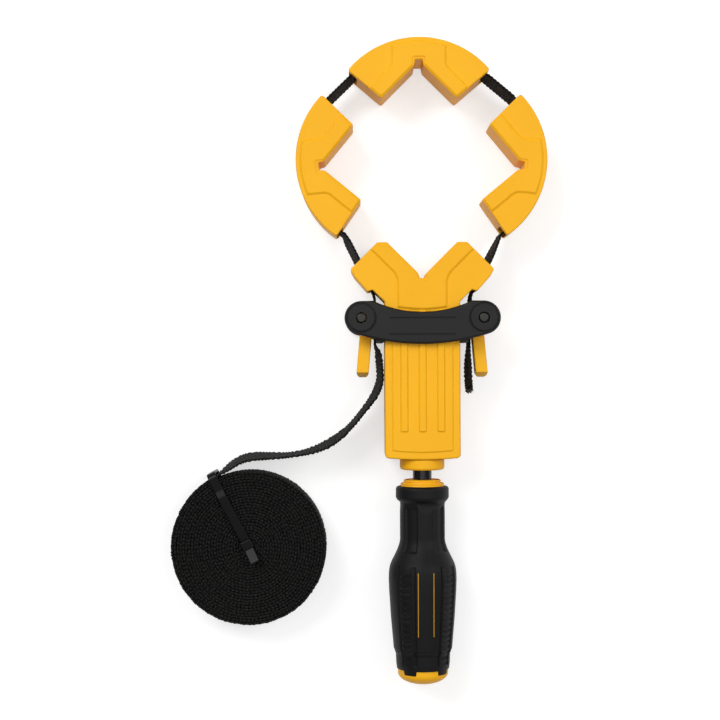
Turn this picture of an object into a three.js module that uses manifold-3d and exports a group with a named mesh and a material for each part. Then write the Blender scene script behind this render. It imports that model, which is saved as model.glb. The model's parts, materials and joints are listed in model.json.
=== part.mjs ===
// Screw-tightened band clamp with three loose V jaws, lying on its back.
// Millimetres, +Z up. The tool axis runs along Y: jaws at +Y, handle at -Y.
// Inside this file Y = 0 is the line through the two lever pivots; the finished group is
// shifted along Y so that the origin is the bottom centre of the tool.

import * as THREE from 'three';
import { mergeVertices } from 'three/addons/utils/BufferGeometryUtils.js';
import Module from 'manifold-3d';

const wasm = await Module();
wasm.setup();

// Driving dimensions

// clearances
const SLIDE_CLEAR = 0.4; // yoke on body
const FIT_CLEAR = 0.3; // seated pieces
const SEAM = 0.2; // between the housing halves
const SCREW_CLEAR = 0.6; // lead screw in the housing
const CAVITY_CLEAR = 1; // round the traverse nut
const TUNNEL_CLEAR = 1.3; // each side of the band in a loose jaw
const CHANNEL_CLEAR = 0.6; // each side of the band in the fixed jaw

// band
const BAND_T = 1.05;
const BAND_W = 19;
const BAND_EDGE_CLEAR = 0.4; // above and below the band in a tunnel

// loose jaws
const JAW_T = 29;
const PANEL_RISE = 0.6;
const JAW_ARC_R = 48.8;
const JAW_HALF_ANGLE = 50;
const JAW_CORNER_R = 1.5;
const V_APEX_DEPTH = 12.6; // from the top of the arc
const NOTCH_DEPTH = 11.9;
const NOTCH_TOP_W = 3.6;
const NOTCH_MOUTH_W = 5;
const BAND_DEPTH = 3.4; // band centre below the arc
const TUNNEL_OVERRUN = 4; // degrees past each end of the jaw
const PANEL_ARM_W = 8.7;
const PANEL_HALF_W = 14.6;
const PANEL_STRIP = 2;
const PANEL_BEND_R = 5;
const EDGE_CHAMFER = 0.6;

// ring of jaws
const TOP_JAW_X = -1.2; // centre of its arc: the jaw has slipped a little to the left
const TOP_JAW_Y = 98.6;
const SIDE_JAW_X = 17.2;
const SIDE_JAW_Y = 83.2;
const SIDE_JAW_TILT = 5.6;
const BAND_PAST_JAW = 2; // degrees that the band keeps to the arc past the lower end of a side jaw
const BAND_IN_TOP_JAW = 2; // degrees inside the top jaw's ends where the band leaves its arc

// fixed jaw
const FIXED_V_APEX_Y = 21.2;
const FIXED_V_HALF_SPAN = 18.3;
const FIXED_TIP_FLAT = 5.2;
const FIXED_END_FACE = 20;
const FIXED_NOTCH_W = 2.6;
const FIXED_NOTCH_MOUTH_W = 4.4;
const FIXED_NOTCH_DEPTH = 2.6;
const FIXED_PANEL_ARM_W = 9;
const FIXED_PANEL_HALF_W = 13.2;
const FIXED_PANEL_BEND_R = 9;
const ARM_CORNER_R = 1.6;
const ARM_UNDERCUT = [2.2, 3.9, 2]; // in, down, radius
const FIXED_FOOT_Y = 4;
const FIXED_FOOT_ARC_R = 68;
const HOOK_Y = 13.8;
const HOOK_WALL = 1.6;
const HOOK_LIP = 0.8;
const BAND_BEND_Y = 11.5;
const BAND_BEND_R = 12;
const BAND_JAW_BEND_R = 2.5;
const BAND_LEAD_OUT = 0.8; // straight run out of a side jaw

// body
const BODY_W = 39.6;
const BODY_T = 27.8; // over the rails
const RAIL_RISE = 0.5;
const RAIL_W = 4.1;
const RAIL_PITCH = 9.6;
const RAIL_END_Y = -59.9;
const BODY_PANEL_RISE = 0.6;
const BODY_PANEL_BORDER = 3.6;
const BODY_END_Y = -73.3;
const BODY_END_BULGE = 1;
const BODY_CORNER_R = 2.4;
const BODY_CHAMFER = 1;
const BODY_WALL = 3.4;
const CAVITY_FLOOR_Y = -60;
const COLLAR_R = 11.8;
const COLLAR_L = 5.7;
const SPIGOT_R = 8.4;
const SPIGOT_L = 8;
const COLLAR_CHAMFER = 1.3;

// yoke and nut
const TRAVEL = 45;
const FENCE_T = 3.75;
const FENCE_TOP_Y = 6.4;
const FENCE_BOTTOM_Y = -13.1;
const PLATE_T = 3.1;
const PLATE_CHAMFER = 0.9;
const YOKE_END_R = 8.8;
const YOKE_DROP = 13.7;
const YOKE_RISE = 3.1;
const YOKE_TOP_ARC_R = 68;
const YOKE_SHOULDER = 6.2; // flat top inboard of each pin
const BOSS_R = 7;
const BOSS_RISE = 0.6;
const INNER_BOSS_R = 5.4;
const NUT_H = 12; // along the screw
const NUT_T = 10;
const NUT_HUB_R = 9;

// levers
const CAM_R = 6.3;
const CAM_LIFT = 1.2;
const PIN_R = 2.6;
const LEVER_W = 6.5;
const LEVER_DEPTH = 24;
const PADDLE_DEPTH = 12;
const PADDLE_START = 8.5;
const TIP_SLANT_RISE = 2.9;
const TIP_SLANT_DEPTH = 5.2;
const LEVER_REACH = 31.3;
const LEVER_TILT = 5;
const LEVER_CHAMFER = 0.5;

// screw and handle
const SCREW_R = 5;
const SCREW_TIP_R = 3.4;
const SCREW_TIP_L = 5;
const SCREW_IN_HANDLE = 42;
const SCREW_CHAMFER = 0.8;
const BUSH_STANDOFF = 4; // from the top of the nut
const BUSH_R = 7.5;
const BUSH_L = 6.5;
const WASHER_T = 1.2;
const WASHER_R = 9;
const CLIP_T = 1;
const CLIP_R = 7.4;
const CLIP_GROOVE = 0.9;
const CLIP_MOUTH = 5.3;
const SHAFT_SHOWING = 5.3;
const FERRULE_R = 10;
const FERRULE_FLANGE_R = 11.6;
const FERRULE_STEP = 1.8;
const FERRULE_L = 3.4;
const FERRULE_CHAMFER = 0.8;
const CORE_R = 8.8;
const GRIP_R = 18;
const GRIP_L = 98.6;
const CAP_R = 13.3;
const CAP_DOME = 6.1;
const CROSS_PIN_R = 1.5;
const CROSS_PIN_INSET = 24;

// housing screws
const FASTENER_HEAD_R = 2.9;
const FASTENER_R = 1.5;
const FASTENER_L = 18;
const FASTENER_SINK = 2.4;
const FASTENER_HEAD_H = 1.9;
const FASTENER_END_ROOM = 1;
const FASTENER_TOP = [17.4, 20.5];
const FASTENER_LOW = [14.6, -67];

// band tails, coil and tie
const SHORT_TAIL_END_Y = -38;
const COIL_X = -91.8;
const COIL_Y = -120.9;
const COIL_R = 41; // middle of the outer turn
const COIL_TURNS = 24;
const COIL_PITCH = 1.5;
const COIL_STEPS = 20; // in each turn
const COIL_START = 124; // degrees, where the tail lies against the coil
const COIL_LEAD = 8;
const TIE_ANGLE = 117.3;
const TIE_T = 1.2;
const TIE_W = 4.8;
const TIE_HEAD = [5.4, 6.4, 3.6]; // along the strap, across it, high
const TIE_HEAD_OVERHANG = 3; // past the strap's inner leg, towards the middle
const TIE_TAIL_L = 8.2;
const TIE_TAIL_ROOT = 1; // inside the head
const TIE_TAIL_RISE = 1.92;
const TIE_BEND_R = 0.6;

// long tail from the yoke to the coil, [x, y] chosen by hand
const TAIL_ROUTE = [
  [-23.4, -18], [-22.7, -25], [-22.6, -32.5], [-24.5, -39.2], [-27.8, -44.9], [-32.2, -50.5],
  [-37, -56.1], [-43.2, -61.7], [-51.1, -66.6], [-60.2, -70.2], [-70.9, -72.3], [-82, -73],
  [-91, -73.5], [-98.3, -76],
];

// Worked-out places

const halfPi = Math.PI / 2;
const rad = THREE.MathUtils.degToRad;
const bodyHalfT = BODY_T / 2;
const plateInner = bodyHalfT + SLIDE_CLEAR;
const plateOuter = plateInner + PLATE_T;
const yokeHalfT = plateOuter + BOSS_RISE;
const axisZ = Math.max(GRIP_R, yokeHalfT); // tool axis above the table
const loopZ = JAW_T / 2; // loose jaws lie on the table
const fenceIn = BODY_W / 2 + SLIDE_CLEAR;
const fenceOut = fenceIn + FENCE_T;
const bandX = fenceOut + FIT_CLEAR + BAND_T / 2;
const pinX = bandX + BAND_T / 2 + FIT_CLEAR + CAM_R;
const yokeTopAtBand = YOKE_RISE + YOKE_TOP_ARC_R - Math.sqrt(YOKE_TOP_ARC_R ** 2 - bandX ** 2);
const bodyLowY = BODY_END_Y - BODY_END_BULGE;
const collarLowY = bodyLowY - COLLAR_L;
const ferruleTopY = collarLowY - SHAFT_SHOWING;
const gripTopY = ferruleTopY - FERRULE_L;
const gripLowY = gripTopY - GRIP_L;
const handleLowY = gripLowY - CAP_DOME;
const nutY = (FENCE_TOP_Y + FENCE_BOTTOM_Y) / 2;
const bushY = nutY + NUT_H / 2 + BUSH_STANDOFF;
const bandR = JAW_ARC_R - BAND_DEPTH;
const coilZ = TIE_T + FIT_CLEAR + BAND_W / 2;
const ringTopY = TOP_JAW_Y + JAW_ARC_R;
const softCorner = EDGE_CHAMFER + 0.3; // rounder than the chamfer that runs over it

// Materials

function finish(color, roughness, metalness = 0) {
  return new THREE.MeshStandardMaterial({ color, roughness, metalness });
}
const yellowPlastic = finish(0xfbb421, 0.45);
const blackPlastic = finish(0x2b2b2b, 0.5);
const gripRubber = finish(0x232323, 0.65);
const webbing = finish(0x161616, 0.85);
const darkSteel = finish(0x3c3e42, 0.35, 0.9);
const bronze = finish(0x9a7b46, 0.4, 0.9);

// Solids and booleans

function signedVolume(positions, index) {
  let sum = 0;
  const corner = [0, 1, 2].map(() => new THREE.Vector3());
  for (let i = 0; i < index.length; i += 3) {
    corner.forEach((v, k) => v.fromArray(positions, index[i + k] * 3));
    sum += corner[0].dot(corner[1].clone().cross(corner[2]));
  }
  return sum / 6;
}

// Closed solid from a geometry, with its faces turned outwards.
function solid(geometry) {
  const bare = new THREE.BufferGeometry();
  bare.setAttribute('position', geometry.getAttribute('position').clone());
  if (geometry.index) bare.setIndex(geometry.index.clone());
  const merged = mergeVertices(bare, 1e-4);
  const vertProperties = new Float32Array(merged.getAttribute('position').array);
  const faces = [];
  const index = merged.index.array;
  for (let i = 0; i < index.length; i += 3) {
    const [a, b, c] = index.slice(i, i + 3);
    if (a !== b && b !== c && c !== a) faces.push(a, b, c);
  }
  if (signedVolume(vertProperties, faces) < 0) faces.reverse();
  return new wasm.Manifold(new wasm.Mesh({ numProp: 3, vertProperties, triVerts: new Uint32Array(faces) }));
}

function geometryOf(body) {
  const { vertProperties, triVerts, numProp } = body.getMesh();
  const geometry = new THREE.BufferGeometry();
  const positions = new Float32Array((vertProperties.length / numProp) * 3);
  for (let i = 0; i < positions.length / 3; i += 1) {
    positions.set(vertProperties.subarray(i * numProp, i * numProp + 3), i * 3);
  }
  geometry.setAttribute('position', new THREE.BufferAttribute(positions, 3));
  geometry.setIndex(new THREE.BufferAttribute(new Uint32Array(triVerts), 1));
  return geometry;
}

const join = (first, ...others) => others.reduce((whole, piece) => whole.add(piece), first);
const cut = (first, ...tools) => tools.reduce((whole, tool) => whole.subtract(tool), first);

const clamp = new THREE.Group();

function place(name, body, material, parent = clamp) {
  const geometry = geometryOf(body);
  geometry.computeVertexNormals();
  const mesh = new THREE.Mesh(geometry, material);
  mesh.name = name;
  parent.add(mesh);
  return mesh;
}

// Outlines

// Points of an arc about (x, y), angles in degrees.
function arc(x, y, r, from, to, step = 6) {
  const count = Math.max(2, Math.ceil(Math.abs(to - from) / step));
  return Array.from({ length: count + 1 }, (_, i) => {
    const a = rad(from + ((to - from) * i) / count);
    return [x + r * Math.cos(a), y + r * Math.sin(a)];
  });
}

// Open path through corners [x, y, radius], with each radius as a round bend.
function roundedPath(corners, closed = false, step = 24) {
  const points = [];
  const count = corners.length;
  corners.forEach(([x, y, r = 0], i) => {
    if (!r || (!closed && (i === 0 || i === count - 1))) {
      points.push(new THREE.Vector2(x, y));
      return;
    }
    const here = new THREE.Vector2(x, y);
    const before = new THREE.Vector2(...corners[(i + count - 1) % count].slice(0, 2)).sub(here);
    const after = new THREE.Vector2(...corners[(i + 1) % count].slice(0, 2)).sub(here);
    const reach = Math.min(before.length(), after.length()) * 0.95;
    before.normalize();
    after.normalize();
    const half = Math.acos(THREE.MathUtils.clamp(before.dot(after), -1, 1)) / 2;
    const setback = Math.min(r / Math.tan(half), reach);
    const radius = setback * Math.tan(half);
    const centre = before.clone().add(after).normalize().multiplyScalar(radius / Math.sin(half)).add(here);
    const start = before.clone().multiplyScalar(setback).add(here).sub(centre);
    const end = after.clone().multiplyScalar(setback).add(here).sub(centre);
    const turn = Math.atan2(start.cross(end), start.dot(end));
    const steps = Math.max(1, Math.ceil(Math.abs(turn) / rad(step)));
    for (let k = 0; k <= steps; k += 1) {
      const spoke = start.clone().rotateAround(new THREE.Vector2(), (turn * k) / steps);
      points.push(spoke.add(centre));
    }
  });
  return points;
}

const outline = (corners) => new THREE.Shape(roundedPath(corners, true));

// Corners of a half outline on the right, listed top to bottom, closed by their mirror image.
function mirrored(right) {
  const left = right.filter(([x]) => Math.abs(x) > 1e-6).map(([x, ...rest]) => [-x, ...rest]).reverse();
  return [...right, ...left];
}

// Plate between two heights, with both rims chamfered.
function plate(shape, low, high, chamfer = 0) {
  const geometry = new THREE.ExtrudeGeometry(shape, {
    depth: high - low - 2 * chamfer,
    bevelEnabled: chamfer > 0,
    bevelThickness: chamfer,
    bevelSize: chamfer,
    bevelOffset: -chamfer,
    bevelSegments: 1,
    curveSegments: 12,
  });
  return solid(geometry.translate(0, 0, low + chamfer));
}

// Plate centred on a height.
const slab = (shape, middle, half, chamfer = 0) => plate(shape, middle - half, middle + half, chamfer);

function block(x, y, z, width, length, height) {
  return solid(new THREE.BoxGeometry(width, length, height).translate(x, y, z));
}

// Turned piece on the tool axis, profile as [y, radius].
function turned(profile, segments = 24, z = axisZ) {
  const points = profile.map(([y, r]) => new THREE.Vector2(r, y));
  return solid(new THREE.LatheGeometry(points, segments).translate(0, 0, z));
}

// Upright cylinder.
function post(x, y, r, low, high, segments = 24) {
  const geometry = new THREE.CylinderGeometry(r, r, high - low, segments).rotateX(halfPi);
  return solid(geometry.translate(x, y, (low + high) / 2));
}

// Flat band standing on edge along a route of {x, y, z}.
function strip(route, thickness, width) {
  const positions = [];
  const faces = [];
  route.forEach(({ x, y, z }, i) => {
    const before = route[Math.max(i - 1, 0)];
    const after = route[Math.min(i + 1, route.length - 1)];
    const ahead = new THREE.Vector2(after.x - before.x, after.y - before.y).normalize();
    const into = new THREE.Vector2(x - before.x, y - before.y).normalize();
    const mitre = i === 0 || i === route.length - 1 ? 1 : Math.max(ahead.dot(into), 0.7);
    const half = thickness / 2 / mitre;
    const side = new THREE.Vector2(-ahead.y, ahead.x).multiplyScalar(half);
    [[1, -1], [1, 1], [-1, 1], [-1, -1]].forEach(([across, up]) => {
      positions.push(x + across * side.x, y + across * side.y, z + (up * width) / 2);
    });
    if (i === 0) return;
    const here = i * 4;
    for (let k = 0; k < 4; k += 1) {
      const next = (k + 1) % 4;
      faces.push(here - 4 + k, here - 4 + next, here + next, here - 4 + k, here + next, here + k);
    }
  });
  const last = (route.length - 1) * 4;
  faces.push(0, 3, 2, 0, 2, 1, last, last + 1, last + 2, last, last + 2, last + 3);
  const geometry = new THREE.BufferGeometry();
  geometry.setAttribute('position', new THREE.Float32BufferAttribute(positions, 3));
  geometry.setIndex(faces);
  return solid(geometry);
}

// Loose jaws: a V-faced shoe with a curved tunnel for the band. The arc's centre is the origin.

const rightEnd = 90 - JAW_HALF_ANGLE;
const vApexY = JAW_ARC_R - V_APEX_DEPTH;
const tipSlope = Math.tan(rad(rightEnd));
const jawTip = [vApexY / (1 + tipSlope), (vApexY * tipSlope) / (1 + tipSlope)];
const vSide = [
  [...jawTip, softCorner],
  [NOTCH_MOUTH_W / 2, vApexY - NOTCH_MOUTH_W / 2, softCorner],
  [NOTCH_TOP_W / 2, JAW_ARC_R - NOTCH_DEPTH],
];

function jawShape() {
  const half = arc(0, 0, JAW_ARC_R, 90, rightEnd, 6);
  half[half.length - 1].push(JAW_CORNER_R);
  return outline(mirrored([...half, ...vSide]));
}

// Raised chevron beside the V, on both faces of a jaw.
function jawPanelShape() {
  const arcTop = JAW_ARC_R - PANEL_STRIP;
  const shoulder = 90 - THREE.MathUtils.radToDeg(Math.asin(PANEL_HALF_W / arcTop));
  const armOffset = vApexY + PANEL_ARM_W * Math.SQRT2;
  const armEnd = armOffset / (1 + tipSlope);
  const right = [
    ...arc(0, 0, arcTop, 90, shoulder, 6),
    [PANEL_HALF_W, armOffset - PANEL_HALF_W, PANEL_BEND_R],
    [armEnd, armEnd * tipSlope],
    ...vSide,
  ];
  return outline(mirrored(right));
}

function tunnelShape() {
  const half = BAND_T / 2 + TUNNEL_CLEAR;
  const past = JAW_HALF_ANGLE + TUNNEL_OVERRUN;
  const outer = arc(0, 0, bandR + half, 90 - past, 90 + past, 6);
  const inner = arc(0, 0, bandR - half, 90 + past, 90 - past, 6);
  return outline([...outer, ...inner]);
}

const baseHalf = JAW_T / 2 - PANEL_RISE;
const jawSolid = cut(
  join(
    slab(jawShape(), loopZ, baseHalf, EDGE_CHAMFER),
    slab(jawPanelShape(), loopZ, JAW_T / 2, EDGE_CHAMFER),
  ),
  slab(tunnelShape(), loopZ, BAND_W / 2 + BAND_EDGE_CLEAR),
);

const jawSeats = [
  ['jaw_top', TOP_JAW_X, TOP_JAW_Y, 0],
  ['jaw_left', -SIDE_JAW_X, SIDE_JAW_Y, 90 + SIDE_JAW_TILT],
  ['jaw_right', SIDE_JAW_X, SIDE_JAW_Y, -90 - SIDE_JAW_TILT],
];
jawSeats.forEach(([name, x, y, turn]) => {
  const seat = new THREE.Group();
  seat.position.set(x, y, 0);
  seat.rotation.z = rad(turn);
  clamp.add(seat);
  place(name, jawSolid, yellowPlastic, seat);
});

// Band loop: round the three jaws, then down through the fixed jaw to the yoke.

const lowerEnd = 180 + SIDE_JAW_TILT + JAW_HALF_ANGLE + BAND_PAST_JAW;
const upperMeet = JAW_HALF_ANGLE - BAND_IN_TOP_JAW;
const leaveJaw = arc(-SIDE_JAW_X, SIDE_JAW_Y, bandR, lowerEnd, 90 + upperMeet, 5);
const overTop = arc(TOP_JAW_X, TOP_JAW_Y, bandR, 90 + upperMeet, 90 - upperMeet, 5);

// The side run of the band, from inside the yoke to the lower end of a side jaw.
const jawTangent = rad(lowerEnd - 90);
const leavePoint = leaveJaw[0];
const bendPoint = [
  leavePoint[0] - BAND_LEAD_OUT * Math.cos(jawTangent),
  leavePoint[1] - BAND_LEAD_OUT * Math.sin(jawTangent),
];
const sideRun = [
  [-bandX, FENCE_BOTTOM_Y],
  [-bandX, BAND_BEND_Y, BAND_BEND_R],
  [...bendPoint, BAND_JAW_BEND_R],
  leavePoint,
];

const sidePath = roundedPath(sideRun, false, 6);

function pointAtHeight(y) {
  const after = sidePath.findIndex((p) => p.y > y);
  const low = sidePath[after - 1];
  const high = sidePath[after];
  return low.clone().lerp(high, (y - low.y) / (high.y - low.y));
}

// Height of the band: the tool's level in the fixed jaw, the jaws' level round the ring.
const fixedTipY = FIXED_V_APEX_Y + FIXED_V_HALF_SPAN;
const tipOut = FIXED_V_HALF_SPAN + FIXED_TIP_FLAT;
const endFaceSum = fixedTipY + tipOut; // x + y all along the fixed jaw's end face
const runSlope = (bendPoint[1] - BAND_BEND_Y) / (-bandX - bendPoint[0]);
const fixedEntryY = BAND_BEND_Y + ((endFaceSum - bandX - BAND_BEND_Y) * runSlope) / (1 + runSlope);
function bandHeight(y) {
  const share = THREE.MathUtils.smoothstep(y, fixedEntryY + 1, leavePoint[1] - 1);
  return THREE.MathUtils.lerp(axisZ, loopZ, share);
}
const lift = (points) => points.map((p) => ({ x: p.x, y: p.y, z: bandHeight(p.y) }));
const flip = (points) => points.map(({ x, y, z }) => ({ x: -x, y, z })).reverse();

// The band from the fixed jaw's hook to the side jaw, with enough points for its change of height.
const RUN_STEPS = 16;
const runTop = sidePath.at(-1).y;
const leftSide = Array.from({ length: RUN_STEPS + 1 }, (_, i) => {
  const y = THREE.MathUtils.lerp(HOOK_Y, runTop, i / RUN_STEPS);
  return i === RUN_STEPS ? sidePath.at(-1) : pointAtHeight(y);
});
const level = (points) => points.map(([x, y]) => ({ x, y, z: loopZ }));
const leftHalf = [...lift(leftSide), ...level(leaveJaw.slice(1))];
const loopRoute = [...leftHalf, ...level(overTop), ...flip(leftHalf)];
place('band_loop', strip(loopRoute, BAND_T, BAND_W), webbing);

// Links: the stretch of band between the fixed jaw and the yoke.
const yokeBandTop = yokeTopAtBand - 0.4;
const linkRoute = [
  ...sidePath.filter((p) => p.y > yokeBandTop + 0.5 && p.y < HOOK_Y - 0.6),
  pointAtHeight(HOOK_Y - FIT_CLEAR),
];
const linkStart = new THREE.Vector2(-bandX, yokeBandTop);
const linkPoints = lift([linkStart, ...linkRoute]);
place('band_link_left', strip(linkPoints, BAND_T, BAND_W), webbing);
place('band_link_right', strip(flip(linkPoints), BAND_T, BAND_W), webbing);

// Housing: fixed V jaw and slotted body in two halves

const endDrop = FIXED_END_FACE * Math.SQRT1_2;
const armCorner = [tipOut + endDrop, fixedTipY - endDrop];
const channelHalf = BAND_T / 2 + CHANNEL_CLEAR;
const hookX = -pointAtHeight(HOOK_Y).x + channelHalf + HOOK_WALL;
const flankX = -pointAtHeight(HOOK_Y).x;
const flankDrop = flankX - BODY_W / 2;
const fixedNotchY = FIXED_V_APEX_Y + FIXED_NOTCH_MOUTH_W / 2;
const fixedV = [
  [tipOut, fixedTipY, softCorner],
  [FIXED_V_HALF_SPAN, fixedTipY, softCorner],
  [FIXED_NOTCH_MOUTH_W / 2, fixedNotchY, softCorner],
  [FIXED_NOTCH_W / 2, fixedNotchY - FIXED_NOTCH_DEPTH],
];

const [armIn, armDown, armR] = ARM_UNDERCUT;
const fixedJawShape = outline(mirrored([
  [BODY_W / 2, FIXED_FOOT_Y - 1],
  [BODY_W / 2, HOOK_Y + HOOK_LIP - flankDrop],
  [flankX, HOOK_Y + HOOK_LIP],
  [hookX, HOOK_Y, softCorner],
  [armCorner[0] - armIn, armCorner[1] - armDown, armR],
  [...armCorner, ARM_CORNER_R],
  ...fixedV,
]));

function footArc(halfWidth) {
  const y = FIXED_FOOT_Y + FIXED_FOOT_ARC_R;
  const swing = THREE.MathUtils.radToDeg(Math.asin(halfWidth / FIXED_FOOT_ARC_R));
  return arc(0, y, FIXED_FOOT_ARC_R, 270, 270 + swing, 4);
}

function fixedPanelShape() {
  const armLine = FIXED_V_APEX_Y - FIXED_PANEL_ARM_W * Math.SQRT2;
  const meet = (endFaceSum - armLine) / 2;
  return outline(mirrored([
    ...footArc(FIXED_PANEL_HALF_W),
    [FIXED_PANEL_HALF_W, FIXED_PANEL_HALF_W + armLine, FIXED_PANEL_BEND_R],
    [meet, meet + armLine],
    ...fixedV,
  ]));
}

function bodyShape(inset) {
  const half = BODY_W / 2 - inset;
  const endY = BODY_END_Y + inset;
  const corner = Math.max(BODY_CORNER_R - inset / 3, softCorner);
  return outline(mirrored([
    [half, FIXED_FOOT_Y + 4],
    [half, endY, corner],
    [half / 2, endY - BODY_END_BULGE * 0.75],
    [0, endY - BODY_END_BULGE],
  ].reverse()));
}

const bodyBaseHalf = bodyHalfT - RAIL_RISE - BODY_PANEL_RISE;
const railTop = FIXED_FOOT_Y + 1;
const rails = [-1, 0, 1].map((k) => {
  const middle = (railTop + RAIL_END_Y) / 2;
  return block(k * RAIL_PITCH, middle, axisZ, RAIL_W, railTop - RAIL_END_Y, BODY_T);
});

const cavityHalf = BODY_W / 2 - BODY_WALL;
const cavityTop = nutY + NUT_H / 2 + CAVITY_CLEAR;
const cavity = block(
  0,
  (cavityTop + CAVITY_FLOOR_Y) / 2,
  axisZ,
  2 * cavityHalf,
  cavityTop - CAVITY_FLOOR_Y,
  2 * (NUT_HUB_R + CAVITY_CLEAR),
);
const slotLow = nutY - TRAVEL - NUT_H / 2 - CAVITY_CLEAR;
const sideSlot = block(
  0,
  (cavityTop + slotLow) / 2,
  axisZ,
  BODY_W + 2,
  cavityTop - slotLow,
  NUT_T + 2 * FIT_CLEAR,
);
const spigotSeat = bodyLowY + SPIGOT_L + FIT_CLEAR;
const bushSeat = bushY + BUSH_L + FIT_CLEAR;
const screwBore = turned([
  [collarLowY, 0],
  [collarLowY, SPIGOT_R + FIT_CLEAR],
  [spigotSeat, SPIGOT_R + FIT_CLEAR],
  [spigotSeat, SCREW_R + SCREW_CLEAR],
  [bushY, SCREW_R + SCREW_CLEAR],
  [bushY, BUSH_R + FIT_CLEAR],
  [bushSeat, BUSH_R + FIT_CLEAR],
  [bushSeat, 0],
]);

// Channel that the band runs through, on the left and on the right.
const channelRoute = lift([
  new THREE.Vector2(-bandX, FENCE_TOP_Y),
  ...sidePath.filter((p) => p.y > FENCE_TOP_Y + 1 && p.y < leavePoint[1]),
]).map((p) => ({ ...p, z: axisZ }));
const channelHeight = BAND_W + 2 * BAND_EDGE_CLEAR;
const leftChannel = strip(channelRoute, 2 * channelHalf, channelHeight);
const rightChannel = strip(flip(channelRoute), 2 * channelHalf, channelHeight);

const fastenerSeats = [FASTENER_TOP, FASTENER_LOW].flatMap(([x, y]) => [[-x, y], [x, y]]);
const backFace = axisZ - bodyBaseHalf;
const headSeat = backFace + FASTENER_SINK;
const jawBack = axisZ - bodyHalfT;
const fastenerHoles = fastenerSeats.flatMap(([x, y]) => [
  post(x, y, FASTENER_R + FIT_CLEAR, headSeat, headSeat + FASTENER_L + FASTENER_END_ROOM, 12),
  post(x, y, FASTENER_HEAD_R + FIT_CLEAR, jawBack - FASTENER_SINK, headSeat, 16),
]);

const housing = cut(
  join(
    slab(fixedJawShape, axisZ, bodyHalfT, EDGE_CHAMFER),
    slab(fixedPanelShape(), axisZ, bodyHalfT + PANEL_RISE, EDGE_CHAMFER),
    slab(bodyShape(0), axisZ, bodyBaseHalf, BODY_CHAMFER),
    slab(bodyShape(BODY_PANEL_BORDER), axisZ, bodyBaseHalf + BODY_PANEL_RISE, EDGE_CHAMFER),
    ...rails,
  ),
  cavity,
  sideSlot,
  screwBore,
  leftChannel,
  rightChannel,
  ...fastenerHoles,
);

const farSide = 400;
const halfSpace = (sign) => block(0, 0, axisZ + sign * (farSide / 2 + SEAM / 2), farSide, farSide, farSide);
place('housing_front', housing.intersect(halfSpace(1)), yellowPlastic);
place('housing_back', housing.intersect(halfSpace(-1)), yellowPlastic);

fastenerSeats.forEach(([x, y], i) => {
  const headTop = headSeat - FIT_CLEAR;
  const head = post(x, y, FASTENER_HEAD_R, headTop - FASTENER_HEAD_H, headTop, 16);
  const shank = post(x, y, FASTENER_R, headTop - FASTENER_HEAD_H / 2, headSeat + FASTENER_L, 12);
  place(`housing_screw_${i + 1}`, join(head, shank), darkSteel);
});

// Collar bush that closes the lower end of the housing.
const bushBore = SCREW_R + FIT_CLEAR;
const flangeTop = bodyLowY - FIT_CLEAR;
place('end_collar', turned([
  [collarLowY + COLLAR_CHAMFER, bushBore],
  [collarLowY, bushBore + COLLAR_CHAMFER],
  [collarLowY, COLLAR_R - COLLAR_CHAMFER],
  [collarLowY + COLLAR_CHAMFER, COLLAR_R],
  [flangeTop, COLLAR_R],
  [flangeTop, SPIGOT_R],
  [bodyLowY + SPIGOT_L, SPIGOT_R],
  [bodyLowY + SPIGOT_L, bushBore],
  [collarLowY + COLLAR_CHAMFER, bushBore],
]), yellowPlastic);

// Top bush that the tip of the screw thrusts against.
const tipBore = SCREW_TIP_R + FIT_CLEAR;
const tipSeat = bushY + SCREW_TIP_L + FIT_CLEAR;
place('thrust_bush', turned([
  [bushY + FIT_CLEAR, tipBore],
  [bushY + FIT_CLEAR, BUSH_R],
  [bushY + BUSH_L, BUSH_R],
  [bushY + BUSH_L, 0],
  [tipSeat, 0],
  [tipSeat, tipBore],
  [bushY + FIT_CLEAR, tipBore],
]), bronze);

// Lead screw with its thrust washer and retaining clip

const clipY = CAVITY_FLOOR_Y + FIT_CLEAR + WASHER_T + FIT_CLEAR;
const screwLowY = ferruleTopY - SCREW_IN_HANDLE;
const screwTipY = bushY + SCREW_TIP_L;
const grooveR = SCREW_R - CLIP_GROOVE;
const crossPinY = ferruleTopY - CROSS_PIN_INSET;
const pinHole = (r) => post(0, crossPinY, r, 0, 2 * axisZ, 12);
const shoulderY = bushY - FIT_CLEAR;
place('lead_screw', cut(turned([
  [screwLowY, 0],
  [screwLowY, SCREW_R - SCREW_CHAMFER],
  [screwLowY + SCREW_CHAMFER, SCREW_R],
  [clipY, SCREW_R],
  [clipY, grooveR],
  [clipY + CLIP_T + FIT_CLEAR, grooveR],
  [clipY + CLIP_T + FIT_CLEAR, SCREW_R],
  [shoulderY, SCREW_R],
  [shoulderY, SCREW_TIP_R],
  [screwTipY - SCREW_CHAMFER, SCREW_TIP_R],
  [screwTipY, SCREW_TIP_R - SCREW_CHAMFER],
  [screwTipY, 0],
]), pinHole(CROSS_PIN_R + FIT_CLEAR)), darkSteel);

// Flat ring on the tool axis.
function washer(y, thickness, inner, outer) {
  return turned([[y, inner], [y, outer], [y + thickness, outer], [y + thickness, inner], [y, inner]]);
}

const washerY = CAVITY_FLOOR_Y + FIT_CLEAR;
place('thrust_washer', washer(washerY, WASHER_T, SCREW_R + FIT_CLEAR, WASHER_R), bronze);

// Clip: a ring open on one side.
const clipRing = washer(clipY + FIT_CLEAR / 2, CLIP_T, grooveR + FIT_CLEAR / 2, CLIP_R);
const clipMouth = block(CLIP_R, clipY + CLIP_T, axisZ, 2 * CLIP_R, 4 * CLIP_T, CLIP_MOUTH);
place('retaining_clip', cut(clipRing, clipMouth), darkSteel);

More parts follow.
